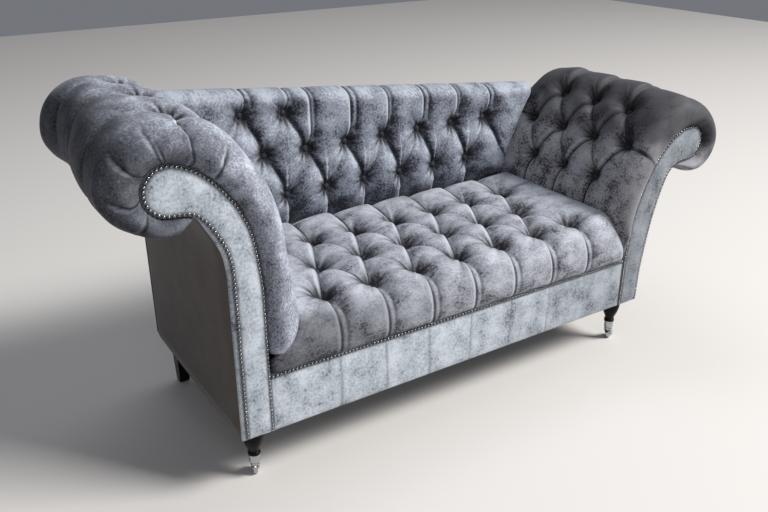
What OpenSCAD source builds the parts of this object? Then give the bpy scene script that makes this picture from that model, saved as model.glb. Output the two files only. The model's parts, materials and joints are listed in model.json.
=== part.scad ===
// Two-seat buttoned fainting couch with a high left scroll, a lower splayed
// right scroll, a back that slopes between them and castors under the front.
// The couch stands on z = 0, its front faces -Y and +X is its low end.

/* [Overall] */
// Width over the outside panels of the two ends, at seat level
body_w = 1300; // [1150:10:1700]
// Depth from the nailed facings to the outside back
body_d = 592; // [540:4:700]
// Height of the underside of the frame above the floor
base_z = 150; // [135:5:200]
// Height of the plain border's top edge, where the seat begins
border_top_z = 300; // [285:5:340]
// Width of the upright part of each end
column_w = 80; // [70:1:95]

/* [Scroll ends] */
// Height of the top of the left facing
left_facing_top = 829; // [780:1:900]
// Height of the top of the right facing
right_facing_top = 672; // [640:1:720]
// How far the left facing reaches out from the inside of its upright
left_reach = 237; // [215:1:270]
// How far the right facing reaches out from the inside of its upright
right_reach = 275; // [250:1:300]
// Radius of the round tip of the left facing
left_tip_r = 55; // [45:1:62]
// Radius of the round tip of the right facing
right_tip_r = 51; // [42:1:58]
// Greatest depth of padding on the left scroll
left_pad_t = 95; // [80:1:110]
// Greatest depth of padding on the right scroll
right_pad_t = 110; // [95:1:125]
// How far the padded front of a scroll stands in front of its facing
scroll_bulge = 26; // [10:1:40]
// Depth over which the front of a scroll rounds over
scroll_nose = 58; // [45:1:70]
// Depth over which the rear of a scroll rounds off
scroll_tail = 44; // [30:1:50]

/* [Seat] */
// Height of the top of the seat's tufts
seat_crown_z = 448; // [425:1:480]
// Height at which the seat tucks in under the back
seat_tuck_z = 402; // [380:1:412]
// Thickness left where the inside back tucks down behind the seat
tuck_t = 14; // [8:1:20]
// Spacing of the seat buttons along a row
seat_pitch = 133; // [125:1:135]
// Spacing of the rows of seat buttons
seat_row = 149; // [130:1:152]
// Distance of the front row of seat buttons behind the facings
seat_first_row = 68; // [60:1:90]
// How far the seat's front edge stands in front of the facings
seat_bulge = 17; // [8:1:30]

/* [Back] */
// Height of the back's top edge half way along
back_mid_z = 783; // [760:1:810]
// Fall of the back's top edge for each unit towards the low end
back_fall_share = 0.101; // [0.06:0.001:0.11]
// Depth of padding on the inside back
back_pad_t = 60; // [50:1:70]
// Depth of padding over the top of the back frame
back_cap_t = 26; // [18:1:35]
// Spacing of the back buttons along a row
back_pitch = 127; // [118:1:130]
// Spacing of the rows of back buttons
back_row = 126; // [110:1:130]
// Height of the lowest row of back buttons
back_first_row = 508; // [500:1:520]

/* [Buttons] */
// Diameter of a covered button
button_d = 24; // [18:1:28]
// Height of a covered button with its tapered tail
button_h = 24; // [20:1:28]

/* [Timber frame] */
// Thickness of the scroll boards at the front and rear of each end
board_t = 28; // [22:1:34]
// Height of the four base rails
rail_h = 120; // [100:1:125]
// Thickness of the base rails
rail_t = 28; // [22:1:32]
// Depth of the back frame from front to rear
back_frame_t = 34; // [30:1:40]
// Width of the upright posts of the back frame
post_w = 46; // [40:1:60]
// Height of the sloping top rail and of the tacking rail
top_rail_h = 55; // [45:1:70]
// Thickness of the curved liner inside each scroll
liner_t = 4; // [3:0.5:6]
// Radius of the round rail inside each scroll's tip
tip_rail_r = 30; // [22:1:36]

/* [Seat suspension] */
// Number of zigzag springs under the seat
spring_count = 6; // [4:1:7]
// Diameter of the spring wire
wire_d = 3.8; // [3:0.1:4.5]
// Number of bends along each spring
spring_bends = 12; // [8:2:14]
// Length of the straight part of a bend
spring_bar = 30; // [20:1:40]
// Thickness of the felt over the springs
felt_t = 18; // [12:1:20]
// Width of the webbing on the inside back
webbing_w = 50; // [40:1:60]

/* [Legs] */
// Distance of the leg centres in from the outside of each end
leg_inset_x = 46; // [40:1:60]
// Distance of the front leg centres behind the facings
front_leg_y = 51; // [48:1:60]
// Radius of the turned front legs at the frame
leg_top_r = 27; // [24:1:30]
// Width of the square rear legs at the frame
rear_leg_w = 46; // [40:1:52]
// Width of the square rear legs at the foot
rear_foot_w = 28; // [24:1:34]
// How far the rear feet stand behind the tops of their legs
rear_rake = 22; // [0:1:30]
// Thickness of the glide under each rear foot
glide_t = 3; // [2:0.5:6]

/* [Castors] */
// Radius of the castor wheels
wheel_r = 17; // [15:0.5:18]
// Width of the castor wheels
wheel_w = 13; // [10:0.5:15]
// Distance of the axle behind the swivel axis
castor_trail = 12; // [8:0.5:14]
// Outside radius of the castor cup at its rim
cup_r = 15; // [14:0.5:18]
// Height of the castor cup
cup_h = 25; // [22:1:36]
// Radius of the leg's spigot inside the cup
spigot_r = 12; // [10:0.5:12.4]
// Direction in which the left castor trails
left_castor_turn = 70; // [0:1:360]
// Direction in which the right castor trails
right_castor_turn = 20; // [0:1:360]

/* [Hidden] */
$fn = 48;

// Clearances and thin sheets
soft_gap = 0.8;
seat_gap = 0.3;
fit_gap = 0.06;
cover_t = 3;
facing_edge_t = 6;
facing_crown_t = 3;
facing_crown_inset = 19;
webbing_t = 1.5;
platform_t = 2;
dust_t = 1;
cut = 1;

// Ends of the couch, each measured outwards from the inside of its upright
LEFT = 0;
RIGHT = 1;
inner_x = body_w / 2 - column_w;
reach = [left_reach, right_reach];
facing_top = [left_facing_top, right_facing_top];
tip_r = [left_tip_r, right_tip_r];
scroll_pad_t = [left_pad_t, right_pad_t];

// Inside line of each facing, as shares of its reach and of its height
inner_shares = [
    [[0, 0], [0, 0.42], [0.008, 0.574], [0.068, 0.729], [0.177, 0.828], [0.329, 0.904],
     [0.485, 0.956], [0.633, 0.987]],
    [[0, 0], [0.007, 0.23], [0.018, 0.364], [0.044, 0.502], [0.12, 0.648], [0.255, 0.797],
     [0.371, 0.877], [0.516, 0.948], [0.665, 0.99]]
];
// Outside line of each facing, as shares of its overhang and of its height
outer_shares = [
    [[0.382, 0.829], [0.236, 0.781], [0.064, 0.7], [0.006, 0.626], [0, 0.515], [0, 0]],
    [[0.513, 0.795], [0.359, 0.747], [0.241, 0.646], [0.144, 0.517], [0.067, 0.364],
     [0.01, 0.172], [0, 0]]
];
// Depth of padding along each scroll, as shares of its length and greatest depth
pad_shares = [
    [[0, 0.03], [0.14, 0.65], [0.29, 0.66], [0.51, 0.79], [0.65, 1], [0.7, 0.96], [0.74, 0.86],
     [0.79, 0.95], [0.82, 1.01], [0.845, 0.93], [0.873, 0.72], [0.9, 0.55], [0.95, 0.45],
     [1, 0.15]],
    [[0, 0.027], [0.166, 0.555], [0.283, 0.68], [0.41, 0.727], [0.488, 0.845], [0.568, 0.98],
     [0.638, 1.01], [0.7, 0.78], [0.757, 0.56], [0.817, 0.555], [0.876, 0.5], [0.935, 0.355],
     [1, 0.11]]
];
// Steps in each part of a smooth line
line_steps = 3;
tip_steps = 10;

// Smooth curve through points, and lengths along a line
function curve_at(a, b, c, d, t) =
    0.5 * (2 * b + (c - a) * t + (2 * a - 5 * b + 4 * c - d) * t * t
    + (3 * b - a - 3 * c + d) * t * t * t);
function smooth(p, n) = concat(
    [for (i = [0:len(p) - 2]) for (k = [0:n - 1])
        curve_at(p[max(i - 1, 0)], p[i], p[i + 1], p[min(i + 2, len(p) - 1)], k / n)],
    [p[len(p) - 1]]);
function lengths(p) =
    [for (i = 0, s = 0; i < len(p); s = s + norm(p[min(i + 1, len(p) - 1)] - p[i]), i = i + 1) s];
function last(list) = list[len(list) - 1];
function reversed(list) = [for (i = [len(list) - 1:-1:0]) list[i]];
function beyond(p, x) = [for (q = p) [max(q.x, x), q.y]];
function along(p, s, d) = [
    for (k = [0:len(p[0]) - 1]) lookup(d, [for (i = [0:len(p) - 1]) [s[i], p[i][k]]])];
function mix(a, b, t) = a + (b - a) * t;
function unit(v) = v / norm(v);
function side_normal(p, i) =
    let (t = unit(p[min(i + 1, len(p) - 1)] - p[max(i - 1, 0)])) [-t.y, t.x];
function beside(p, d) = [for (i = [0:len(p) - 1]) p[i] + side_normal(p, i) * d];

// Outline of a facing: up the inside, round the tip and down the outside
function rise(e) = facing_top[e] - base_z;
function tip_centre(e) = [reach[e] - tip_r[e], facing_top[e] - tip_r[e]];
function inside_line(e) = beyond(smooth(concat(
    [for (p = inner_shares[e]) [p.x * reach[e], base_z + p.y * rise(e)]],
    [[tip_centre(e).x, facing_top[e]]]), line_steps), 0);
function tip_line(e) = [for (k = [1:tip_steps])
    tip_centre(e) + tip_r[e] * [cos(90 - 180 * k / tip_steps), sin(90 - 180 * k / tip_steps)]];
function outside_line(e) = beyond(smooth(concat(
    [last(tip_line(e))],
    [for (p = outer_shares[e])
        [column_w + p.x * (reach[e] - column_w), base_z + p.y * rise(e)]]), line_steps), column_w);
function outside_rest(e) = [for (i = [1:len(outside_line(e)) - 1]) outside_line(e)[i]];
function facing_line(e) = concat(inside_line(e), tip_line(e), outside_rest(e));
function board_line(e) = concat(
    inside_line(e), tip_line(e), [for (p = outside_rest(e)) p - [cover_t, 0]]);

// Base line of a scroll's padding, from the border up and over to its underside
scroll_base = [for (e = [LEFT, RIGHT]) concat(
    [[lookup(border_top_z, [for (p = inside_line(e)) [p.y, p.x]]), border_top_z]],
    [for (p = inside_line(e)) if (p.y > border_top_z + liner_t) p],
    tip_line(e),
    [for (i = [1:line_steps]) outside_line(e)[i]])];
scroll_at = [for (e = [LEFT, RIGHT]) lengths(scroll_base[e])];
scroll_lift = 2.6;
scroll_under = [for (e = [LEFT, RIGHT]) beside(scroll_base[e], scroll_lift)];
pad_curve = [for (e = [LEFT, RIGHT]) smooth(pad_shares[e], line_steps)];
scroll_over = [for (e = [LEFT, RIGHT]) [for (i = [0:len(scroll_base[e]) - 1])
    scroll_base[e][i] + side_normal(scroll_base[e], i) * scroll_pad_t[e]
    * lookup(scroll_at[e][i] / last(scroll_at[e]), pad_curve[e])]];
scroll_over_at = [for (e = [LEFT, RIGHT]) lengths(scroll_over[e])];

// Inside surface of a scroll at a height, which the seat and the back meet
inner_table = [for (e = [LEFT, RIGHT]) let (top = max([for (p = scroll_over[e]) p.y]))
    [for (i = [0:len(scroll_over[e]) - 1])
        if (scroll_over[e][i].y < top && i < len(scroll_over[e]) / 2)
            [scroll_over[e][i].y, scroll_over[e][i].x]]];
function inner_at(e, z) = inner_x + lookup(z, inner_table[e]);

// How full a buttoned surface stands, 0 at a button and 1 on a tuft
valley_share = 0.45;
fold_power = 0.55;
crown_power = 0.3;
valley_power = 0.7;
fold_rise_share = 1.1;
fold_end_share = 0.8;
function fullness(a, b) =
    let (p = abs(sin(180 * a)),
        q = abs(sin(180 * b)),
        high = max(p, q),
        f = pow(min(p, q), fold_power))
    f * pow(high, crown_power) + valley_share * (1 - f) * pow(high, valley_power);
function straight_fold(u, away) =
    let (f = pow(abs(sin(180 * u)), fold_power))
    f + (1 - f) * min(fold_end_share, fold_rise_share * away);
function tuft(u, v, rows) =
    v < 0 ? straight_fold(u, -v)
    : v > rows - 1 ? straight_fold(u + 0.5 * ((rows - 1) % 2), v - rows + 1)
    : fullness(u + v / 2, u - v / 2);

// Closed solid from a buttoned surface and the two ends of its flat underside
module padded(top, first, second, open_ends) {
    n = len(top);
    m = len(top[0]);
    points = concat([for (row = top) each row], first, second);
    f0 = n * m;
    s0 = n * m + n;
    over = [for (i = [0:n - 2]) for (j = [0:m - 2])
        let (a = i * m + j,
            p = top[i][j],
            q = top[i][j + 1],
            r = top[i + 1][j + 1],
            s = top[i + 1][j],
            fold = cross(r - p, q - p) * (p + r - q - s) < 0)
        each fold ? [[a, a + 1, a + m + 1], [a, a + m + 1, a + m]]
            : [[a, a + 1, a + m], [a + 1, a + m + 1, a + m]]];
    under = [for (i = [0:n - 2]) each open_ends
        ? [[f0 + i, f0 + i + 1, s0 + i + 1], [f0 + i, s0 + i + 1, s0 + i]]
        : [[i * m, (i + 1) * m, (i + 1) * m + m - 1], [i * m, (i + 1) * m + m - 1, i * m + m - 1]]];
    walls = open_ends ? [for (i = [0:n - 2]) each
        [[i * m, (i + 1) * m, f0 + i + 1], [i * m, f0 + i + 1, f0 + i],
         [i * m + m - 1, s0 + i, s0 + i + 1], [i * m + m - 1, s0 + i + 1, (i + 1) * m + m - 1]]] : [];
    first_row = open_ends ? concat([f0, s0], [for (j = [m - 1:-1:0]) j]) : [for (j = [m - 1:-1:0]) j];
    last_row = open_ends
        ? concat([s0 + n - 1, f0 + n - 1], [for (j = [0:m - 1]) (n - 1) * m + j])
        : [for (j = [0:m - 1]) (n - 1) * m + j];
    polyhedron(points, concat(over, under, walls, [first_row, last_row]), convexity = 8);
}

// Padding of a scroll, as a grid of points over its length and its depth
arm_pitch = 130;
arm_row = 116;
arm_first_row = 247;
arm_rows = [5, 3];
arm_first_y = 70;
arm_button_share = 0.55;
nose_low = -60;
nose_angles = [nose_low, -30, 0, 25, 50, 70];
tail_angles = [60, 30, 0];
foot_steps = 8;
row_steps = 4;
column_steps = 3;
rest_steps = [10, 11];
rear_y = body_d - cover_t;
nose_y = scroll_nose - scroll_bulge;
function nose_k(a) = (sin(a) - sin(nose_low)) / (1 - sin(nose_low));
arm_half = arm_pitch / 2;
back_face_y = rear_y - back_frame_t;
pad_back_y = back_face_y - webbing_t;
function back_top(x) = back_mid_z - back_fall_share * x;
arm_columns = floor((pad_back_y - tuck_t - arm_first_y) / arm_half) * column_steps;
arm_depths = concat(
    [for (a = nose_angles) [nose_y - scroll_nose * cos(a), nose_k(a)]],
    [for (j = [0:arm_columns]) [arm_first_y + j * arm_half / column_steps, 1]],
    [for (a = tail_angles) [rear_y, sin(a), a]]);
function arm_lengths(e) = let (end = last(scroll_over_at[e]),
        far = arm_first_row + arm_row * (arm_rows[e] - 1)) concat(
    [for (i = [0:foot_steps - 1]) arm_first_row * i / foot_steps],
    [for (i = [0:(arm_rows[e] - 1) * row_steps]) arm_first_row + arm_row * i / row_steps],
    [for (i = [1:rest_steps[e]]) mix(far, end, i / rest_steps[e])]);
function arm_k(e, s, y) = mix(arm_button_share, 1,
    tuft((y - arm_first_y) / arm_pitch + 0.5, (s - arm_first_row) / arm_row, arm_rows[e]));
function arm_point(e, s, y, k) =
    let (b = along(scroll_under[e], scroll_over_at[e], s),
        o = along(scroll_over[e], scroll_over_at[e], s),
        p = mix(b, o, k)) [inner_x + p.x, y, p.y];
function arm_tail_y(e, s, a) =
    let (p = arm_point(e, s, 0, 1), behind = p.z > back_top((e == LEFT ? -1 : 1) * p.x) + soft_gap
        || s > last(scroll_over_at[e]) / 2)
    (behind ? rear_y : pad_back_y) - (behind ? scroll_tail : tuck_t) * (1 - cos(a));
function arm_grid(e) = [for (s = arm_lengths(e)) [for (d = arm_depths)
    len(d) > 2 ? arm_point(e, s, arm_tail_y(e, s, d[2]), d.y)
    : arm_point(e, s, d.x, d.y * (d.x > arm_first_y - arm_half ? arm_k(e, s, d.x) : 1))]];
left_grid = arm_grid(LEFT);
right_grid = arm_grid(RIGHT);

// Seat padding, from its tuck under the back to the nail line
seat_rows = 3;
seat_button_share = 0.71;
seat_columns = 22;
seat_nose = 75;
seat_nose_share = 0.32;
seat_nose_z = mix(border_top_z, seat_crown_z, seat_nose_share);
seat_roll = 70;
seat_row_steps = 5;
seat_front_rows = 0.25;
platform_z = border_top_z;
seat_rear_y = pad_back_y - tuck_t - soft_gap;
function seat_height(y) =
    mix(seat_tuck_z, seat_crown_z, sin(90 * min(1, (seat_rear_y - y) / seat_roll)));
seat_last_row = seat_first_row + seat_row * (seat_rows - 1);
seat_profile = concat(
    [for (t = [0, 0.15, 0.4, 0.7]) let (y = seat_rear_y - seat_roll * t) [y, seat_height(y), y, 0]],
    [for (t = [0, 0.5]) let (y = mix(seat_rear_y - seat_roll, seat_last_row, t)) [y, seat_crown_z, y, 0]],
    [for (i = [0:seat_row_steps * (seat_rows - 1)])
        let (y = seat_last_row - i * seat_row / seat_row_steps) [y, seat_crown_z, y, 0]],
    [for (a = [22, 42, 60, 76, 90]) [
        seat_first_row - (seat_first_row + seat_bulge) * sin(a),
        mix(seat_nose_z, seat_crown_z, cos(a)), seat_first_row - seat_nose * a / 180, a / 90]],
    [for (a = [35, 70, 90]) [
        seat_gap - (seat_bulge + seat_gap) * cos(a),
        mix(seat_nose_z, border_top_z + platform_t, sin(a)), seat_first_row * (1 - a / 90) / 2, 1]]);
function seat_end(e, z) = inner_at(e, z) - soft_gap;
function seat_point(j, p) =
    let (z = p[1],
        x = j < -seat_columns ? -seat_end(LEFT, z) : j > seat_columns ? seat_end(RIGHT, z)
            : j * seat_pitch / 6,
        v = (p[2] - seat_first_row) / seat_row - p[3] * seat_front_rows,
        edge = abs(j) > seat_columns ? 1 : 0,
        k = mix(seat_button_share, 1, max(edge, tuft(x / seat_pitch, v, seat_rows))))
    [x, mix(p[2], p[0], k), mix(platform_z, z, z > border_top_z + platform_t ? k : 1)];
seat_grid = [for (p = seat_profile) [for (j = [-seat_columns - 1:seat_columns + 1]) seat_point(j, p)]];
seat_left = [for (p = seat_profile) [-seat_end(LEFT, seat_crown_z), p[2], platform_z]];
seat_right = [for (p = seat_profile) [seat_end(RIGHT, seat_crown_z), p[2], platform_z]];

// Inside back padding, from its tuck behind the seat up and over the top rail
back_rows = 2;
back_button_share = 0.42;
back_columns = 23;
back_steps = 5;
back_roll = 38;
back_swell = 80;
back_apex_y = pad_back_y - tuck_t / 2;
back_lip = 4;
back_second_row = back_first_row + back_row;
function back_straight(x) = back_top(x) - back_roll;
function back_third_row(x) = mix(back_second_row, back_straight(x), (back_steps - 1) / back_steps);
function back_depth(z) = mix(tuck_t, back_pad_t,
    sin(90 * min(1, max(0, (z - seat_tuck_z) / back_swell))));
back_low = concat(
    [platform_z + seat_gap],
    [for (t = [0, 0.3, 0.65, 1]) seat_tuck_z + back_swell * t],
    [for (i = [0:back_steps]) back_first_row + back_row * i / back_steps]);
back_rows_at = concat(
    [for (z = back_low) [0, z]],
    [for (i = [1:back_steps]) [1, i / back_steps]],
    [for (a = [25, 50, 75, 90]) [2, a]],
    [for (a = [45, 90]) [3, a]]);
// Depth in y, height and the matching place on the frame, for one row at x
function back_place(r, x) =
    let (top = back_top(x), cap = top - back_cap_t, front = pad_back_y - back_pad_t)
    r[0] == 0 ? [pad_back_y - back_depth(r[1]), r[1], pad_back_y, r[1]]
    : r[0] == 1 ? let (z = mix(back_second_row, back_straight(x), r[1])) [front, z, pad_back_y, z]
    : r[0] == 2 ? let (z = top - back_roll * (1 - sin(r[1])))
        [mix(back_apex_y, front, cos(r[1])), z, pad_back_y, min(z, cap)]
    : [mix(back_apex_y, rear_y, sin(r[1])), mix(cap + back_lip, top, cos(r[1])),
        mix(pad_back_y, rear_y, r[1] / 90), cap];
function back_tuft(x, z) =
    let (u = x / back_pitch, high = u > -3.5 && u < -1.5,
        v = z < back_second_row ? (z - back_first_row) / back_row
            : 1 + (z - back_second_row) / (back_third_row(x) - back_second_row))
    tuft(u, v, high ? back_rows + 1 : back_rows);
function back_x(j, r) =
    let (e = j < 0 ? LEFT : RIGHT, side = j < 0 ? -1 : 1)
    abs(j) <= back_columns ? j * back_pitch / 6
    : side * (inner_at(e, back_place(r, side * inner_x)[1]) - soft_gap);
function back_point(j, r) =
    let (x = back_x(j, r), p = back_place(r, x),
        k = abs(j) > back_columns || r[0] == 3 || p[1] < seat_tuck_z + soft_gap ? 1
            : mix(back_button_share, 1, back_tuft(x, p[1])))
    [x, mix(p[2], p[0], k), mix(p[3], p[1], k)];
back_grid = [for (r = back_rows_at) [for (j = [-back_columns - 1:back_columns + 1]) back_point(j, r)]];
function back_end(j) = [for (r = back_rows_at)
    let (x = back_x(j, r), p = back_place(r, x)) [x, p[2], p[3]]];

// The object's own frame has its origin under the middle of the whole couch
left_x = -max([for (row = left_grid) for (p = row) p.x]);
right_x = max([for (row = right_grid) for (p = row) p.x]);
front_y = min([for (g = [left_grid, right_grid]) for (row = g) for (p = row) p.y]);
mid_x = (left_x + right_x) / 2;
mid_y = (front_y + body_d) / 2;
module place() translate([-mid_x, -mid_y, 0]) children();
module at_end(e) {
    if (e == LEFT) mirror([1, 0, 0]) children();
    else children();
}
module plate(line, y0, y1) translate([0, y1, 0]) rotate([90, 0, 0]) linear_extrude(y1 - y0)
    polygon([for (p = line) [inner_x + p.x, p.y]]);
module block(x0, x1, y0, y1, z0, z1) translate([x0, y0, z0]) cube([x1 - x0, y1 - y0, z1 - z0]);
module mirror_pair() {
    children();
    mirror([1, 0, 0]) children();
}

// Base frame
board_y = facing_edge_t + board_t;
rear_board_y = rear_y - board_t;
rail_top_z = base_z + rail_h;
rail_inset = column_w - cover_t - rail_t;
wood = [0.72, 0.56, 0.38];
module front_rail() color(wood) place()
    block(-inner_x, inner_x, facing_edge_t, facing_edge_t + rail_t, base_z, rail_top_z);
module back_rail() color(wood) place()
    block(-inner_x, inner_x, rear_y - rail_t, rear_y, base_z, rail_top_z);
module end_rail(e) color(wood) place() at_end(e)
    block(inner_x + rail_inset, inner_x + rail_inset + rail_t, board_y, rear_board_y, base_z, rail_top_z);
module left_end_rail() end_rail(LEFT);
module right_end_rail() end_rail(RIGHT);
centre_rail_h = rail_h * 2 / 3;
module centre_rail() color(wood) place()
    block(-rail_t / 2, rail_t / 2, facing_edge_t + rail_t, rear_y - rail_t, base_z, base_z + centre_rail_h);

// Corner blocks that take the leg bolts
leg_x = body_w / 2 - leg_inset_x;
rear_leg_y = rear_board_y - rear_leg_w * 2 / 3;
block_w = 66;
block_h = 65;
block_side = 5;
bolt_r = 4;
bolt_drop = 42;
nut_r = 7.5;
nut_h = 6.5;
module leg_block(y0, bolt_y) difference() {
    block(inner_x + block_side, inner_x + rail_inset, y0, y0 + block_w, base_z, base_z + block_h);
    translate([leg_x, bolt_y, base_z - cut]) cylinder(r = bolt_r + fit_gap, h = block_h + 2 * cut);
}
module leg_blocks() color(wood) place() mirror_pair() {
    leg_block(board_y, front_leg_y);
    leg_block(rear_board_y - block_w, rear_leg_y);
}

// Scroll boards, which carry the shape of each end
module scroll_board(e, y0) color(wood) place() at_end(e) plate(board_line(e), y0, y0 + board_t);
module left_front_board() scroll_board(LEFT, facing_edge_t);
module right_front_board() scroll_board(RIGHT, facing_edge_t);
module left_rear_board() scroll_board(LEFT, rear_board_y);
module right_rear_board() scroll_board(RIGHT, rear_board_y);

// Long rails of a scroll: one in its tip, one at the seat and one outside
tack_rail_h = 50;
outer_rail_w = 24;
outer_rail_h = 45;
function outside_at(e, z) = lookup(z, [for (p = outside_line(e)) [p.y, p.x]]);
module arm_rails(e) color(wood) place() at_end(e) {
    tack_x = inner_x + lookup(platform_z + tack_rail_h, [for (p = inside_line(e)) [p.y, p.x]]) + liner_t;
    outer_z = base_z + rise(e) / 2;
    outer_x = inner_x + outside_at(e, outer_z) - cover_t;
    translate([inner_x + tip_centre(e).x, rear_board_y, tip_centre(e).y]) rotate([90, 0, 0])
        cylinder(r = tip_rail_r, h = rear_board_y - board_y);
    block(tack_x + fit_gap, tack_x + rail_t, board_y, rear_board_y, platform_z, platform_z + tack_rail_h);
    block(outer_x - outer_rail_w, outer_x - soft_gap, board_y, rear_board_y,
        outer_z, outer_z + outer_rail_h);
}
module left_arm_rails() arm_rails(LEFT);
module right_arm_rails() arm_rails(RIGHT);

// Curved liner of thin board that backs the padding of a scroll
module arm_liner(e) color([0.6, 0.5, 0.38]) place() at_end(e)
    plate(concat(scroll_base[e], reversed(beside(scroll_base[e], -liner_t))), board_y, rear_board_y);
module left_arm_liner() arm_liner(LEFT);
module right_arm_liner() arm_liner(RIGHT);

// Back frame
function frame_top(x) = back_top(x) - back_cap_t;
function rail_under(x) = frame_top(x) - top_rail_h;
module sloped(line) translate([0, rear_y, 0]) rotate([90, 0, 0])
    linear_extrude(back_frame_t) polygon(line);
module back_post(x0, x1)
    sloped([[x0, rail_top_z], [x1, rail_top_z], [x1, rail_under(x1)], [x0, rail_under(x0)]]);
module back_posts() color(wood) place() {
    back_post(seat_gap - inner_x, post_w - inner_x);
    back_post(inner_x - post_w, inner_x - seat_gap);
}
module back_top_rail() color(wood) place() sloped([
    [-inner_x, rail_under(-inner_x)], [inner_x, rail_under(inner_x)],
    [inner_x, frame_top(inner_x)], [-inner_x, frame_top(-inner_x)]]);
tack_lift = 30;
tack_z = platform_z + tack_lift;
module back_tacking_rail() color(wood) place()
    block(post_w - inner_x, inner_x - post_w, back_face_y, rear_y, tack_z, tack_z + top_rail_h);
webbing_count = 7;
webbing_lap = 20;
module back_webbing() color([0.55, 0.42, 0.25]) place() for (i = [0:webbing_count - 1]) {
    x = mix(post_w - inner_x, inner_x - post_w, (i + 0.5) / webbing_count);
    translate([0, back_face_y, 0]) rotate([90, 0, 0]) linear_extrude(webbing_t) polygon([
        [x - webbing_w / 2, tack_z + webbing_lap], [x + webbing_w / 2, tack_z + webbing_lap],
        [x + webbing_w / 2, frame_top(x + webbing_w / 2) - webbing_lap],
        [x - webbing_w / 2, frame_top(x - webbing_w / 2) - webbing_lap]]);
}

// Seat suspension: zigzag springs in clips, felt and a cloth platform
wire_r = wire_d / 2;
clip_w = 20;
clip_l = 16;
clip_t = 2;
clip_wall = 1.6;
spring_z = rail_top_z + clip_t + wire_r;
spring_y0 = facing_edge_t + rail_t / 2;
spring_y1 = rear_y - rail_t / 2;
spring_step = (spring_y1 - spring_y0) / spring_bends;
spring_pitch = 2 * (inner_x - post_w) / spring_count;
steel = [0.6, 0.6, 0.62];
module spring_line() {
    for (i = [0:spring_bends]) translate([-spring_bar / 2, spring_y0 + i * spring_step, spring_z])
        rotate([0, 90, 0]) cylinder(r = wire_r, h = spring_bar);
    for (i = [0:spring_bends - 1])
        translate([(i % 2 == 0 ? 1 : -1) * spring_bar / 2, spring_y0 + (i + 0.5) * spring_step, spring_z])
        rotate([0, 0, i % 2 == 0 ? -90 : 90]) rotate_extrude(angle = 180)
        translate([spring_step / 2, 0]) circle(r = wire_r);
}
function spring_x(i) = (i - (spring_count - 1) / 2) * spring_pitch;
module seat_springs() color(steel) place() for (i = [0:spring_count - 1])
    translate([spring_x(i), 0, 0]) spring_line();
module spring_clip() difference() {
    union() {
        block(-clip_w / 2, clip_w / 2, -clip_l / 2, clip_l / 2, rail_top_z, rail_top_z + clip_t);
        translate([-clip_w / 2, 0, spring_z]) rotate([0, 90, 0])
            cylinder(r = wire_r + clip_wall, h = clip_w);
    }
    translate([-clip_w / 2 - cut, 0, spring_z]) rotate([0, 90, 0])
        cylinder(r = wire_r + fit_gap, h = clip_w + 2 * cut);
    block(-clip_w, clip_w, -clip_l, clip_l, rail_top_z - clip_l, rail_top_z);
}
module spring_clips() color(steel) place() for (i = [0:spring_count - 1]) for (y = [spring_y0, spring_y1])
    translate([spring_x(i), y, 0]) spring_clip();
cloth_z = platform_z - platform_t;
felt_low_z = max(cloth_z - felt_t, spring_z + wire_r + clip_wall + seat_gap);
module seat_felt() color([0.35, 0.35, 0.36]) place()
    block(seat_gap - inner_x, inner_x - seat_gap, facing_edge_t, pad_back_y, felt_low_z, cloth_z);
module seat_platform() color([0.62, 0.52, 0.36]) place()
    block(seat_gap - inner_x, inner_x - seat_gap, facing_edge_t, pad_back_y, cloth_z, platform_z);

// Padding and its covers
velvet = [0.44, 0.46, 0.55];
module seat_pad() color(velvet) place() padded(seat_grid, seat_left, seat_right, true);
module back_pad() color(velvet) place() padded(reversed(back_grid),
    reversed(back_end(-back_columns - 1)), reversed(back_end(back_columns + 1)), true);
module left_arm_pad() color(velvet) place() at_end(LEFT) padded(left_grid, [], [], false);
module right_arm_pad() color(velvet) place() at_end(RIGHT) padded(right_grid, [], [], false);

// Plain covers
pale = [0.68, 0.73, 0.78];
module front_border() color(pale) place()
    block(seat_gap - inner_x, inner_x - seat_gap, 0, facing_edge_t, base_z, border_top_z);
module facing(e) color(pale) place() at_end(e) {
    plate(facing_line(e), 0, facing_edge_t);
    plate(beside(facing_line(e), -facing_crown_inset), -facing_crown_t, 0);
}
module left_facing() facing(LEFT);
module right_facing() facing(RIGHT);
module outside_panel(e) color([0.36, 0.34, 0.35]) place() at_end(e) plate(concat(
    [for (i = [line_steps:len(outside_line(e)) - 1]) outside_line(e)[i]],
    reversed([for (i = [line_steps:len(outside_line(e)) - 1]) outside_line(e)[i] - [cover_t, 0]])),
    facing_edge_t, rear_y);
module left_outside_panel() outside_panel(LEFT);
module right_outside_panel() outside_panel(RIGHT);
function over_reach(e) = let (side = e == LEFT ? -1 : 1) lookup(frame_top(side * inner_x),
    [for (p = inside_line(e)) [p.y, p.x]]);
module outside_back_panel() color([0.36, 0.34, 0.35]) place() {
    left_out = -inner_x - over_reach(LEFT);
    right_out = inner_x + over_reach(RIGHT);
    translate([0, body_d, 0]) rotate([90, 0, 0]) linear_extrude(cover_t) union() {
        mirror([1, 0]) polygon([for (p = facing_line(LEFT)) [inner_x + p.x, p.y]]);
        polygon([for (p = facing_line(RIGHT)) [inner_x + p.x, p.y]]);
        polygon([
            [-inner_x - cut, base_z],
            [inner_x + cut, base_z],
            [inner_x + cut, tip_centre(RIGHT).y - 2 * tip_r[RIGHT]],
            [right_out, min(frame_top(right_out), facing_top[RIGHT] - cut)],
            [inner_x, frame_top(inner_x)],
            [left_out, min(frame_top(left_out), facing_top[LEFT] - cut)],
            [-inner_x - cut, tip_centre(LEFT).y - 2 * tip_r[LEFT]]]);
    }
}
dust_inset = 12;
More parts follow.
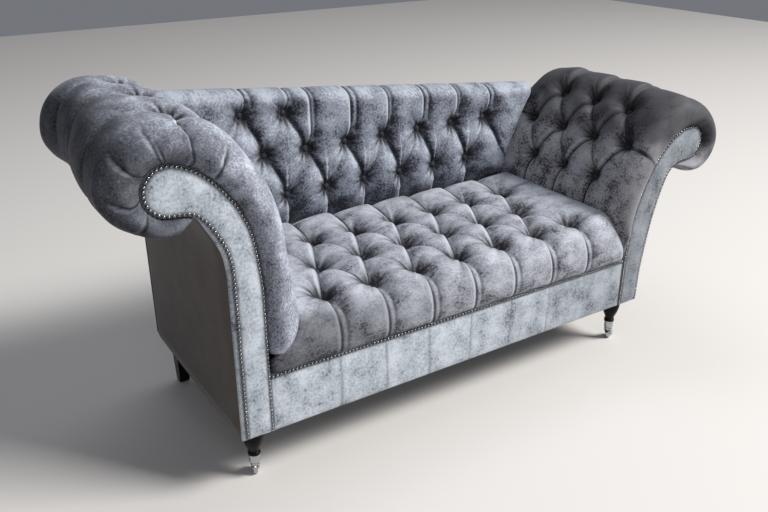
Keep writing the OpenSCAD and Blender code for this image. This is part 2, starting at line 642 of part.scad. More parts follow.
module dust_cover() color([0.1, 0.1, 0.11]) place() difference() {
    block(dust_inset - body_w / 2, body_w / 2 - dust_inset, dust_inset, body_d - dust_inset,
        base_z - dust_t, base_z);
    mirror_pair() {
        translate([leg_x, front_leg_y, base_z - dust_t - cut])
            cylinder(r = leg_top_r + seat_gap, h = dust_t + 2 * cut);
        block(leg_x - rear_leg_w / 2 - seat_gap, leg_x + rear_leg_w / 2 + seat_gap,
            rear_leg_y - rear_leg_w / 2 - seat_gap, rear_leg_y + rear_leg_w / 2 + seat_gap,
            base_z - dust_t - cut, base_z + cut);
    }
}

// Covered buttons, each with a tapered tail that fills the pit of its tuft
tail_share = 0.74;
crown_share = 0.3;
module button() rotate_extrude($fn = 24) polygon([
    [0, 0], [button_d / 2, button_h * tail_share], [button_d * crown_share, button_h], [0, button_h]]);
seat_button_z = mix(platform_z, seat_crown_z, seat_button_share) + seat_gap;
module seat_buttons() color(velvet) place() for (r = [0:seat_rows - 1])
    for (i = [-3:3 - r % 2])
        translate([(i + (r % 2) / 2) * seat_pitch, seat_first_row + r * seat_row, seat_button_z])
        button();
back_button_y = pad_back_y - back_pad_t * back_button_share - seat_gap;
module back_button(u, z) translate([u * back_pitch, back_button_y, z]) rotate([90, 0, 0]) button();
module back_buttons() color(velvet) place() {
    for (i = [-3:3]) back_button(i, back_first_row);
    for (i = [-4:3]) back_button(i + 0.5, back_second_row);
    for (i = [-3, -2]) back_button(i, back_third_row(i * back_pitch));
}
module arm_buttons(e) color(velvet) place() at_end(e) for (r = [0:arm_rows[e] - 1])
    for (i = [0:3 - (r + 1) % 2]) {
        s = arm_first_row + r * arm_row;
        b = along(scroll_under[e], scroll_over_at[e], s);
        o = along(scroll_over[e], scroll_over_at[e], s);
        n = unit(o - b);
        p = mix(b, o, arm_button_share) + n * seat_gap;
        translate([inner_x + p.x, arm_first_y + (i + ((r + 1) % 2) / 2) * arm_pitch, p.y])
            rotate([0, atan2(n.x, n.y), 0]) button();
    }
module left_arm_buttons() arm_buttons(LEFT);
module right_arm_buttons() arm_buttons(RIGHT);

// Castors and the turned front legs that stand on them
axle_r = 2.5;
stem_r = 4;
fork_gap = 0.5;
cheek_t = 3;
crown_t = 5;
cup_floor_t = 6;
wheel_room = 2;
cup_z = 2 * wheel_r + wheel_room + crown_t + seat_gap;
leg_low_z = cup_z + cup_h;
chrome = [0.8, 0.81, 0.83];
leg_shares = [[1, 1], [1, 0.93], [0.97, 0.86], [0.99, 0.78], [0.98, 0.68], [0.93, 0.56], [0.84, 0.44],
    [0.72, 0.33], [0.59, 0.23], [0.5, 0.15], [0.48, 0.1], [0.55, 0.08], [0.57, 0.05], [0.55, 0.02],
    [0.5, 0]];
leg_line = smooth([for (p = leg_shares) [p.x * leg_top_r, mix(leg_low_z, base_z, p.y)]], 2);
module bolt_hole() translate([0, 0, base_z - bolt_drop - seat_gap])
    cylinder(r = bolt_r + fit_gap, h = bolt_drop + 2 * cut);
module front_leg() difference() {
    union() {
        rotate_extrude() polygon(concat([[0, base_z]], leg_line, [[0, leg_low_z]]));
        translate([0, 0, cup_z + cup_floor_t + seat_gap])
            cylinder(r = spigot_r, h = cup_h - cup_floor_t - seat_gap);
    }
    bolt_hole();
}
module at_left_castor() place() translate([-leg_x, front_leg_y, 0]) children();
module at_right_castor() place() translate([leg_x, front_leg_y, 0]) children();
black = [0.06, 0.05, 0.05];
module front_left_leg() color(black) at_left_castor() front_leg();
module front_right_leg() color(black) at_right_castor() front_leg();
module leg_side(rake) translate([0, 0, -rear_leg_w]) linear_extrude(2 * rear_leg_w) polygon([
    [rake - rear_foot_w / 2, glide_t], [rake + rear_foot_w / 2, glide_t],
    [rear_leg_w / 2, base_z], [-rear_leg_w / 2, base_z]]);
module rear_leg() difference() {
    intersection() {
        rotate([90, 0, 0]) leg_side(0);
        rotate([90, 0, 90]) leg_side(rear_rake);
    }
    bolt_hole();
}
module rear_left_leg() color(black) place() translate([-leg_x, rear_leg_y, 0]) rear_leg();
module rear_right_leg() color(black) place() translate([leg_x, rear_leg_y, 0]) rear_leg();
module leg_bolt() {
    translate([0, 0, base_z - bolt_drop]) cylinder(r = bolt_r, h = bolt_drop + block_h + nut_h);
    translate([0, 0, base_z + block_h]) cylinder(r = nut_r, h = nut_h, $fn = 6);
}
module leg_bolts() color(steel) place() mirror_pair() {
    translate([leg_x, front_leg_y, 0]) leg_bolt();
    translate([leg_x, rear_leg_y, 0]) leg_bolt();
}
glide_share = 0.8;
module rear_glides() color(black) place() mirror_pair()
    translate([leg_x, rear_leg_y + rear_rake, 0]) cylinder(r = rear_foot_w * glide_share / 2, h = glide_t);

// Cup, which takes the leg's spigot above and the swivel stem below
cup_shares = [[0.66, 0], [0.86, 0.1], [0.94, 0.24], [0.9, 0.34], [0.92, 0.8], [1, 0.86], [1, 1]];
module castor_cup() difference() {
    rotate_extrude() polygon(concat([[0, cup_z]],
        [for (p = cup_shares) [p.x * cup_r, cup_z + p.y * cup_h]], [[0, cup_z + cup_h]]));
    translate([0, 0, cup_z + cup_floor_t]) cylinder(r = spigot_r + fit_gap, h = cup_h);
    translate([0, 0, cup_z - cut]) cylinder(r = stem_r + fit_gap, h = cup_floor_t + 2 * cut);
}
module left_castor_cup() color(chrome) at_left_castor() castor_cup();
module right_castor_cup() color(chrome) at_right_castor() castor_cup();

// Horn with its stem and two cheeks, drawn trailing towards +X
crown_r = 11;
cheek_root = 8;
boss_r = 6;
fork_w = wheel_w + 2 * fork_gap;
crown_z = cup_z - seat_gap - crown_t;
module cheek() linear_extrude(cheek_t) difference() {
    union() {
        translate([castor_trail, wheel_r]) circle(r = boss_r);
        polygon([[-cheek_root, crown_z + crown_t / 2], [cheek_root, crown_z + crown_t / 2],
            [castor_trail + boss_r, wheel_r], [castor_trail - boss_r, wheel_r]]);
    }
    translate([castor_trail, wheel_r]) circle(r = axle_r + fit_gap);
}
module castor_fork() {
    translate([0, 0, crown_z]) cylinder(r = crown_r, h = crown_t);
    translate([0, 0, crown_z]) cylinder(r = stem_r, h = crown_t + cup_floor_t);
    for (side = [-1, 1])
        translate([0, side * (fork_w + cheek_t) / 2 + cheek_t / 2, 0]) rotate([90, 0, 0]) cheek();
}
module castor_axle() translate([castor_trail, fork_w / 2 + cheek_t, wheel_r]) rotate([90, 0, 0])
    cylinder(r = axle_r, h = fork_w + 2 * cheek_t);
wheel_shares = [[0.3, 0.5], [0.62, 0.5], [0.66, 0.4], [0.8, 0.42], [0.95, 0.38], [1, 0.2], [1, -0.2],
    [0.95, -0.38], [0.8, -0.42], [0.66, -0.4], [0.62, -0.5], [0.3, -0.5]];
module castor_wheel() translate([castor_trail, 0, wheel_r]) rotate([90, 0, 0]) rotate_extrude()
    polygon(concat(
        [[axle_r + fit_gap, wheel_w / 2]],
        [for (p = wheel_shares) [p.x * wheel_r, p.y * wheel_w]],
        [[axle_r + fit_gap, -wheel_w / 2]]));
module left_castor_fork() color(chrome) at_left_castor() rotate(left_castor_turn) castor_fork();
module right_castor_fork() color(chrome) at_right_castor() rotate(right_castor_turn) castor_fork();
module left_castor_axle() color(steel) at_left_castor() rotate(left_castor_turn) castor_axle();
module right_castor_axle() color(steel) at_right_castor() rotate(right_castor_turn) castor_axle();
module left_castor_wheel() color(chrome) at_left_castor() rotate(left_castor_turn) castor_wheel();
module right_castor_wheel() color(chrome) at_right_castor() rotate(right_castor_turn) castor_wheel();

front_rail();
back_rail();
left_end_rail();
right_end_rail();
centre_rail();
leg_blocks();
left_front_board();
right_front_board();
left_rear_board();
right_rear_board();
left_arm_rails();
right_arm_rails();
left_arm_liner();
right_arm_liner();
back_posts();
back_top_rail();
back_tacking_rail();
back_webbing();
seat_springs();
spring_clips();
seat_felt();
seat_platform();
seat_pad();
back_pad();
left_arm_pad();
right_arm_pad();
front_border();
left_facing();
right_facing();
left_outside_panel();
right_outside_panel();
outside_back_panel();
dust_cover();
seat_buttons();
back_buttons();
left_arm_buttons();
right_arm_buttons();
front_left_leg();
front_right_leg();
rear_left_leg();
rear_right_leg();
leg_bolts();
rear_glides();
left_castor_cup();
left_castor_fork();
left_castor_axle();
left_castor_wheel();
right_castor_cup();
right_castor_fork();
right_castor_axle();
right_castor_wheel();
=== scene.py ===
# The looks of the fainting couch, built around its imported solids.
# Lengths are in metres. A point written (x, y, z) is in the couch's own zero:
# middle of the border, plane of the facings, floor. Scroll lines are written
# (out, z), with out measured outwards from the inside of each upright.
import json
import math

import bpy
import numpy as np
from mathutils import Matrix, Vector, noise
from mathutils.geometry import delaunay_2d_cdt


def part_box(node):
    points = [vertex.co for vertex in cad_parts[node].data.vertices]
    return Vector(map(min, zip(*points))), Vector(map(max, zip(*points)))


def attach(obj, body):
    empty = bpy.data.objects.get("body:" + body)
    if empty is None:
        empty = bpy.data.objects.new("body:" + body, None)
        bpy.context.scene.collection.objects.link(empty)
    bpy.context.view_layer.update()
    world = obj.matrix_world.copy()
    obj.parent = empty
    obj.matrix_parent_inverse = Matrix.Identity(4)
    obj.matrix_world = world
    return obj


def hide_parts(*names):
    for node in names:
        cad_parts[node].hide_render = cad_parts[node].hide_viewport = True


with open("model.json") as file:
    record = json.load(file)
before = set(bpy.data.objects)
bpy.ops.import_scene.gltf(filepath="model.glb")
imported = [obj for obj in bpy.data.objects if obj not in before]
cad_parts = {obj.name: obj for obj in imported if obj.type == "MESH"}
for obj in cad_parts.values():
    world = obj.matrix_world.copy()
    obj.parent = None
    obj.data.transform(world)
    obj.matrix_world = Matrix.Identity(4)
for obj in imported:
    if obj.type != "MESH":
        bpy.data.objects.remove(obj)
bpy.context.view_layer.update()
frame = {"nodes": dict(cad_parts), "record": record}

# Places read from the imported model
border_low, border_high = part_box("front_border")
ZERO = np.array([(border_low.x + border_high.x) / 2, border_low.y, 0.0])
GAP = 0.0003
SOFT_GAP = 0.0008
COVER_T = 0.003
BASE_Z = border_low.z
BORDER_TOP = border_high.z
INNER = (border_high.x - border_low.x) / 2 + GAP
BODY_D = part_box("outside_back_panel")[1].y - ZERO[1]
REAR_Y = BODY_D - COVER_T
PAD_BACK_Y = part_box("back_webbing")[0].y - ZERO[1]

# The two ends, left then right
LEFT, RIGHT = 0, 1
SIDE = (-1, 1)
END_NAME = ("left", "right")
COLUMN_W = 0.080
REACH = (0.237, 0.275)
FACING_TOP = (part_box("left_facing")[1].z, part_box("right_facing")[1].z)
TIP_R = (0.055, 0.051)
SCROLL_PAD_T = (0.095, 0.110)
SCROLL_BULGE = 0.026
SCROLL_NOSE = 0.058
INNER_SHARES = (
    ((0, 0), (0, 0.42), (0.008, 0.574), (0.068, 0.729), (0.177, 0.828), (0.329, 0.904),
     (0.485, 0.956), (0.633, 0.987)),
    ((0, 0), (0.007, 0.23), (0.018, 0.364), (0.044, 0.502), (0.12, 0.648), (0.255, 0.797),
     (0.371, 0.877), (0.516, 0.948), (0.665, 0.99)),
)
OUTER_SHARES = (
    ((0.382, 0.829), (0.236, 0.781), (0.064, 0.7), (0.006, 0.626), (0, 0.515), (0, 0)),
    ((0.513, 0.795), (0.359, 0.747), (0.241, 0.646), (0.144, 0.517), (0.067, 0.364),
     (0.01, 0.172), (0, 0)),
)
PAD_SHARES = (
    ((0, 0.018), (0.06, 0.018), (0.069, 0.24), (0.08, 0.52), (0.095, 0.72), (0.12, 0.84),
     (0.155, 0.89), (0.21, 0.86), (0.29, 0.77), (0.4, 0.77), (0.51, 0.85), (0.65, 1), (0.7, 0.96),
     (0.74, 0.86), (0.79, 0.92), (0.82, 0.95), (0.845, 0.9), (0.873, 0.72), (0.9, 0.55),
     (0.95, 0.45), (1, 0.15)),
    ((0, 0.027), (0.166, 0.555), (0.283, 0.68), (0.41, 0.727), (0.488, 0.845), (0.568, 0.98),
     (0.638, 1.01), (0.7, 0.78), (0.757, 0.56), (0.817, 0.555), (0.876, 0.5), (0.935, 0.355),
     (1, 0.11)),
)
LINE_STEPS = 9
TIP_STEPS = 30
BASE_STEP = 0.004


def mix(a, b, t):
    return a + (b - a) * t


def step_between(x, low, high):
    t = np.clip((x - low) / (high - low), 0, 1)
    return t * t * (3 - 2 * t)


def smooth(points, steps):
    """A smooth line through points, with that many steps to each of its parts."""
    p = np.array(points, float)
    line = []
    for i in range(len(p) - 1):
        a, b, c, d = p[max(i - 1, 0)], p[i], p[i + 1], p[min(i + 2, len(p) - 1)]
        for t in np.arange(steps) / steps:
            line.append(0.5 * (2 * b + (c - a) * t + (2 * a - 5 * b + 4 * c - d) * t ** 2
                               + (3 * b - a - 3 * c + d) * t ** 3))
    return np.array(line + [p[-1]])


def lengths(line):
    """Distance along a line at each of its points."""
    return np.concatenate([[0], np.cumsum(np.linalg.norm(np.diff(line, axis=0), axis=1))])


def along(line, at, s):
    """Points of a line at distances s, where at holds the distance of each point."""
    return np.stack([np.interp(s, at, line[:, k]) for k in range(line.shape[1])], axis=-1)


def spaced(line, pitch):
    """A line drawn again with its points about that far apart."""
    at = lengths(line)
    count = max(1, round(at[-1] / pitch))
    return along(line, at, np.linspace(0, at[-1], count + 1))


def normals(line):
    """Unit vectors to the left of a line at each of its points."""
    t = np.empty_like(line)
    t[1:-1] = line[2:] - line[:-2]
    t[0] = line[1] - line[0]
    t[-1] = line[-1] - line[-2]
    t /= np.linalg.norm(t, axis=1)[:, None]
    return np.stack([-t[:, 1], t[:, 0]], axis=1)


class Scroll:
    """The lines of one end: its facing and the padding that runs over it."""

    def __init__(self, e):
        rise = FACING_TOP[e] - BASE_Z
        tip = np.array([REACH[e] - TIP_R[e], FACING_TOP[e] - TIP_R[e]])
        inside = [(x * REACH[e], BASE_Z + z * rise) for x, z in INNER_SHARES[e]]
        self.inside = smooth(inside + [(tip[0], FACING_TOP[e])], LINE_STEPS)
        self.inside[:, 0] = np.maximum(self.inside[:, 0], 0)
        turn = math.pi / 2 - math.pi * np.arange(1, TIP_STEPS + 1) / TIP_STEPS
        self.tip = tip + TIP_R[e] * np.stack([np.cos(turn), np.sin(turn)], axis=1)
        outer = [(COLUMN_W + x * (REACH[e] - COLUMN_W), BASE_Z + z * rise)
                 for x, z in OUTER_SHARES[e]]
        self.outside = smooth([tuple(self.tip[-1])] + outer, LINE_STEPS)
        self.outside[:, 0] = np.maximum(self.outside[:, 0], COLUMN_W)
        self.facing = np.concatenate([self.inside, self.tip, self.outside[1:]])
        foot = np.interp(BORDER_TOP, self.inside[:, 1], self.inside[:, 0])
        above = self.inside[self.inside[:, 1] > BORDER_TOP + BASE_STEP]
        self.base = spaced(np.concatenate(
            [[(foot, BORDER_TOP)], above, self.tip, self.outside[1:LINE_STEPS + 1]]), BASE_STEP)
        at = lengths(self.base)
        pad = smooth(PAD_SHARES[e], LINE_STEPS)
        depth = SCROLL_PAD_T[e] * np.interp(at / at[-1], pad[:, 0], pad[:, 1])
        self.over = self.base + normals(self.base) * depth[:, None]
        self.over_at = lengths(self.over)
        top = int(np.argmax(self.over[:, 1]))
        self.inner_z = self.over[:top, 1]
        self.inner_x = self.over[:top, 0]

    def inner_at(self, z, share=1.0):
        """How far from the couch's middle the padded inside stands at height z."""
        return INNER + share * np.interp(z, self.inner_z, self.inner_x)


SCROLLS = (Scroll(LEFT), Scroll(RIGHT))


# Folded and buttoned surfaces
STEEP_W = 0.0045
# Width and shift of the painted shade line along each fold
FOLD_W = 0.0045
LINE_SHIFT = 0.003
# Place and width of the painted highlight beside a crisp fold
LIP_AT = 0.0075
LIP_W = 0.0035
PIT_R = 0.018
DISH_R = 0.040
DISH = 0.45
GATHER_R = 0.026


class Tufting:
    """Creases and buttons laid out on the cloth, and how full it stands between them."""

    def __init__(self, pit_r=PIT_R, dish=DISH, gather=0.09, pit_shade=0.022):
        self.creases = []
        self.buttons = []
        self.pit_r = pit_r
        self.dish = dish
        self.gather = gather
        self.pit_shade = pit_shade

    def crease(self, a, b, deep=(0.5, 0.5), soft_w=0.022, lean=1, steep_w=STEEP_W, shade=0.45):
        """A fold from a to b. Its cloth falls off over soft_w on one side and steeply on the other. Painted
        shade runs along it as a dark line and, by shade, over its soft side; a crisp fold gets a painted
        highlight on the lip of its steep side.
        """
        self.creases.append((np.array(a, float), np.array(b, float), deep, soft_w, lean, steep_w, shade))

    def button(self, p, size=1.0):
        self.buttons.append((np.array(p, float), size))

    def fullness(self, p):
        """1 on a tuft and 0 at a button, the painted shade at each point, in folds and pits, and the
        painted highlight on fold lips.
        """
        full = np.ones(p.shape[:-1])
        dark = np.zeros(p.shape[:-1])
        lip = np.zeros(p.shape[:-1])
        for a, b, deep, soft_w, lean, steep_w, shade in self.creases:
            run = b - a
            t = np.clip(((p - a) @ run) / (run @ run), 0, 1)
            gap = p - (a + t[..., None] * run)
            d = np.linalg.norm(gap, axis=-1)
            side = (run[0] * gap[..., 1] - run[1] * gap[..., 0]) * lean
            depth = mix(deep[0], deep[1], t)
            width = np.where(side > 0, soft_w, steep_w)
            full *= 1 - depth * np.exp(-(d / width) ** 1.15)
            # Painted shade: a dark line along the fold
            off = np.abs(np.where(side > 0, d, -d) - LINE_SHIFT)
            line = np.minimum(1, 3 * depth) * np.exp(-(off / FOLD_W) ** 1.6)
            # Painted highlight on the lip of a crisp fold
            crisp = min(1, STEEP_W / steep_w) ** 2
            edge = crisp * np.minimum(1, 2 * depth) * np.exp(-((d - LIP_AT) / LIP_W) ** 2)
            lip = np.maximum(lip, np.where(side < 0, edge, 0))
            # Painted shade spread over the fold's soft side
            lee = np.where(side > 0, shade, 0.3 * shade) * np.minimum(1, 1.6 * depth)
            dark = np.maximum(dark, np.maximum(line, lee * np.exp(-(d / (0.8 * soft_w)) ** 1.3)))
        for i, (b, size) in enumerate(self.buttons):
            gap = p - b
            d = np.linalg.norm(gap, axis=-1) / size
            turn = np.arctan2(gap[..., 1], gap[..., 0])
            folds = 0.5 + 0.3 * np.sin(9 * turn + 1.7 * i) + 0.2 * np.sin(14 * turn + 2.9 * i)
            full *= 1 - self.gather * folds * np.exp(-(d / GATHER_R) ** 2)
            full *= (1 - np.exp(-(d / self.pit_r) ** 1.7)) * (1 - self.dish * np.exp(-(d / DISH_R) ** 1.6))
            # Painted shade in the pit and along its gathers
            shade = np.exp(-(d / self.pit_shade) ** 2) + folds * np.exp(-(d / (1.8 * self.pit_shade)) ** 2)
            dark = np.maximum(dark, np.minimum(1, shade))
        return full, dark, lip


def lumps(points, size, height, seed):
    """Gentle unevenness of stuffing, the same on each run."""
    flat = points.reshape(-1, points.shape[-1])
    shift = Vector((seed * 7.31, seed * 3.17, seed * 1.93))
    out = [noise.noise(Vector(tuple(q) + (0,) * (3 - len(q))) / size + shift) for q in flat]
    return height * np.array(out).reshape(points.shape[:-1])


# Painted light: the velvet is painted lighter where its surface turns towards this way, that of the light
# from the right, front and above, and darker where it turns away
LIGHT_WAY = np.array([0.75, -0.3, 0.55])


def set_attribute(mesh, name, values):
    layer = mesh.attributes.new(name, "FLOAT", "POINT")
    layer.data.foreach_set("value", np.asarray(values, float).ravel())


def finish_mesh(name, verts, faces, uv=None, dark=None, lip=None):
    mesh = bpy.data.meshes.new(name)
    mesh.from_pydata([tuple(v) for v in (np.asarray(verts) + ZERO)], [], faces)
    mesh.validate()
    mesh.polygons.foreach_set("use_smooth", [True] * len(mesh.polygons))
    if uv is not None:
        layer = mesh.uv_layers.new(name="cloth")
        index = np.empty(len(mesh.loops), int)
        mesh.loops.foreach_get("vertex_index", index)
        layer.data.foreach_set("uv", np.asarray(uv, float)[index].ravel())
    # Painted shade and the painted highlight of fold lips, kept per point for the velvet's colour
    if dark is not None:
        set_attribute(mesh, "crease", dark)
    if lip is not None:
        set_attribute(mesh, "lip", lip)
    mesh.update()
    # Painted light: how far each point's surface turns towards the light, kept for the velvet's colour
    lean = np.empty(3 * len(mesh.vertices))
    mesh.vertex_normals.foreach_get("vector", lean)
    lean = lean.reshape(-1, 3) @ (LIGHT_WAY / np.linalg.norm(LIGHT_WAY))
    set_attribute(mesh, "painted_light", lean - np.median(lean))
    piece = bpy.data.objects.new(name, mesh)
    bpy.context.scene.collection.objects.link(piece)
    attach(piece, "couch")
    return piece


def surface_faces(grid, full):
    """Triangles of a grid of points, each cell split along its lower diagonal."""
    n, m = grid.shape[:2]
    faces = []
    fold = full[:-1, :-1] + full[1:, 1:] < full[:-1, 1:] + full[1:, :-1]
    for i in range(n - 1):
        for j in range(m - 1):
            a = i * m + j
            if fold[i, j]:
                faces += [(a, a + m + 1, a + 1), (a, a + m, a + m + 1)]
            else:
                faces += [(a, a + m, a + 1), (a + 1, a + m, a + m + 1)]
    return faces


def pad_piece(name, grid, full, dark, lip, cloth, ends=None, flip=False):
    """A closed pad: its buttoned top, a flat underside, and two ends."""
    n, m = grid.shape[:2]
    verts = grid.reshape(-1, 3)
    faces = surface_faces(grid, full)
    uv = cloth.reshape(-1, 2)
    dark = dark.reshape(-1)
    lip = lip.reshape(-1)
    if ends is None:
        first = [i * m for i in range(n)]
        last = [i * m + m - 1 for i in range(n)]
    else:
        first = list(range(n * m, n * m + n))
        last = list(range(n * m + n, n * m + 2 * n))
        verts = np.concatenate([verts, ends[0], ends[1]])
        uv = np.concatenate([uv, cloth[:, 0], cloth[:, -1]])
        dark = np.concatenate([dark, np.zeros(2 * n)])
        lip = np.concatenate([lip, np.zeros(2 * n)])
        for i in range(n - 1):
            faces += [(first[i], first[i + 1], (i + 1) * m, i * m),
                      (last[i + 1], last[i], i * m + m - 1, (i + 1) * m + m - 1)]
    for i in range(n - 1):
        faces.append((first[i + 1], first[i], last[i], last[i + 1]))
    low = list(range(m)) + ([last[0], first[0]] if ends is not None else [])
    high = list(range((n - 1) * m, n * m)) + ([last[-1], first[-1]] if ends is not None else [])
    faces += [tuple(low), tuple(reversed(high))]
    if flip:
        faces = [tuple(reversed(f)) for f in faces]
    return finish_mesh(name, verts, faces, uv, dark, lip)


# Seat cushion
SEAT_CROWN = 0.448
SEAT_TUCK = 0.402
TUCK_T = 0.014
SEAT_PITCH = 0.133
SEAT_ROW = 0.149
SEAT_FIRST = 0.068
SEAT_BULGE = 0.017
SEAT_ROLL = 0.070
SEAT_SHARE = 0.71
SEAT_NOSE_Z = mix(BORDER_TOP, SEAT_CROWN, 0.32)
SEAT_NOSE = 0.075
SEAT_PRESS = 0.008
SEAT_UNDER_FOOT = 0.048
FINE = 20
SEAT_REAR_Y = PAD_BACK_Y - TUCK_T - SOFT_GAP


def seat_profile():
    """Rows of (y, z, y under it, distance along the cloth from the front buttons)."""
    last = SEAT_FIRST + 2 * SEAT_ROW
    rows = []
    for t in np.linspace(0, 1, 15)[:-1]:
        y = SEAT_REAR_Y - SEAT_ROLL * t
        rows.append((y, mix(SEAT_TUCK, SEAT_CROWN, math.sin(math.pi / 2 * t)), y))
    for y in np.linspace(SEAT_REAR_Y - SEAT_ROLL, last, 9)[:-1]:
        rows.append((y, SEAT_CROWN, y))
    for i in range(2 * FINE):
        y = last - i * SEAT_ROW / FINE
        rows.append((y, SEAT_CROWN, y))
    for a in np.linspace(0, 90, 24):
        turn = math.radians(a)
        rows.append((SEAT_FIRST - (SEAT_FIRST + SEAT_BULGE) * math.sin(turn),
                     mix(SEAT_NOSE_Z, SEAT_CROWN, math.cos(turn)), SEAT_FIRST - SEAT_NOSE * a / 180))
    for a in np.linspace(0, 90, 14)[1:]:
        turn = math.radians(a)
        rows.append((GAP - (SEAT_BULGE + GAP) * math.cos(turn),
                     mix(SEAT_NOSE_Z, BORDER_TOP + 0.002, math.sin(turn)), SEAT_FIRST * (1 - a / 90) / 2))
    rows = np.array(rows)
    at = lengths(rows[:, :2])
    front = at[14 + 8 + 2 * FINE]
    return rows, front - at


def seat_tufting():
    cloth = Tufting(pit_shade=0.030)
    for r in range(3):
        for i in range(-3, 4 - r % 2):
            x = (i + (r % 2) / 2) * SEAT_PITCH
            cloth.button((x, r * SEAT_ROW))
    for i in range(-3, 3):
        x = (i + 0.5) * SEAT_PITCH
        for k, row in ((1, 2), (0, 0)):
            low, high = sorted([(x, SEAT_ROW), ((i + k) * SEAT_PITCH, row * SEAT_ROW)], key=lambda q: q[1])
            cloth.crease(low, high, (0.38, 0.42), 0.028, -1)
            cloth.crease((low[0] + 0.009, low[1] + 0.012), (high[0] + 0.007, high[1] - 0.014),
                         (0.10, 0.10), 0.006, -1)
        for k, row in ((0, 2), (1, 0)):
            low, high = sorted([(x, SEAT_ROW), ((i + k) * SEAT_PITCH, row * SEAT_ROW)], key=lambda q: q[1])
            cloth.crease(low, high, (0.42, 0.34), 0.03, -1, 0.007)
    for i in range(-3, 4):
        x = i * SEAT_PITCH
        cloth.crease((x, 0), (x + 0.008, -0.055), (0.5, 0.44), 0.026, 1)
        cloth.crease((x + 0.008, -0.055), (x + 0.006, -0.32), (0.44, 0.3), 0.024, 1)
        cloth.crease((x + 0.012, -0.012), (x + 0.026, -0.07), (0.08, 0.2), 0.012, 1)
        cloth.crease((x + 0.026, -0.07), (x + 0.022, -0.32), (0.2, 0.12), 0.01, 1)
        cloth.crease((x, 2 * SEAT_ROW), (x, 2 * SEAT_ROW + 0.3), (0.34, 0.5), 0.03, -1, 0.008)
    for s in SIDE:
        cloth.crease((s * 3 * SEAT_PITCH, 0), (s * 0.56, -0.02), (0.2, 0.06), 0.02, s)
        cloth.crease((s * 3 * SEAT_PITCH, 2 * SEAT_ROW), (s * 0.56, 2 * SEAT_ROW), (0.26, 0.16), 0.02, s)
    return cloth


def seat_shade(cloth):
    """Painted shade on the rolled front, strongest at its left end and below its tufts."""
    down = -cloth[..., 1] + lumps(cloth, 0.06, 0.05, 11)
    left = 1 - step_between(cloth[..., 0], -0.6, 0.05)
    return (0.2 + 0.55 * left) * step_between(down, 0.0, 0.10)


def seat_cushion():
    rows, run = seat_profile()
    edge = [SCROLLS[e].inner_at(rows[:, 1], nose_share(rows[:, 0])) - SOFT_GAP for e in (LEFT, RIGHT)]
    half = 3.5 * SEAT_PITCH
    inner = np.linspace(-half, half, 14 * FINE + 1)
    spread = np.linspace(0, 1, 13)
    grid_x = np.concatenate([
        -edge[LEFT][:, None] + (edge[LEFT] - half)[:, None] * spread[None, :-1],
        np.repeat(inner[None, :], len(rows), 0),
        half + (edge[RIGHT] - half)[:, None] * spread[None, 1:]], axis=1)
    cloth = np.stack([grid_x, np.repeat(run[:, None], grid_x.shape[1], 1)], axis=-1)
    full, dark, lip = seat_tufting().fullness(cloth)
    full[:, 0] = 1
    full[:, -1] = 1
    # Painted shade on the rolled front, on top of that of folds and pits
    dark = 1 - (1 - dark) * (1 - seat_shade(cloth))
    puff = lumps(cloth, 0.09, 0.05, 1)
    k = mix(SEAT_SHARE, 1, np.clip(full + puff * full, 0, 1.05))
    y = mix(rows[:, 2][:, None], rows[:, 0][:, None], k)
    lift = np.where(rows[:, 1][:, None] > BORDER_TOP + 0.0025, k, 1)
    z = mix(BORDER_TOP, rows[:, 1][:, None], lift)
    reach = np.minimum(grid_x - grid_x[:, :1], grid_x[:, -1:] - grid_x)
    y = y + (SEAT_BULGE - CROWN_H) * np.exp(-reach / SEAT_PRESS) * step_between(-y, -0.03, 0.005)
    grid = np.stack([grid_x, y, z], axis=-1)
    ends = []
    for e in (LEFT, RIGHT):
        crown = SCROLLS[e].inner_at(SEAT_CROWN) - SOFT_GAP
        end_x = SIDE[e] * np.where(rows[:, 1] < BORDER_TOP + SEAT_UNDER_FOOT, edge[e], crown)
        ends.append(np.stack([end_x, rows[:, 2], np.full(len(rows), BORDER_TOP + GAP)], axis=1))
    piece = pad_piece("seat_cushion", grid, full, dark, lip, cloth, ends)
    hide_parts("seat_pad")
    return piece


# Inside back
BACK_MID = 0.783
BACK_FALL = 0.101
BACK_PAD_T = 0.060
BACK_CAP_T = 0.026
BACK_PITCH = 0.127
BACK_ROW = 0.126
BACK_FIRST = 0.508
BACK_SHARE = 0.42
BACK_ROLL = 0.038
BACK_SWELL = 0.080
BACK_LIP = 0.004
BACK_APEX_Y = PAD_BACK_Y - TUCK_T / 2
BACK_THIRD_SHARE = 0.8


def back_top(x):
    return BACK_MID - BACK_FALL * x


def back_third(x):
    return mix(BACK_FIRST + BACK_ROW, back_top(x) - BACK_ROLL, BACK_THIRD_SHARE)


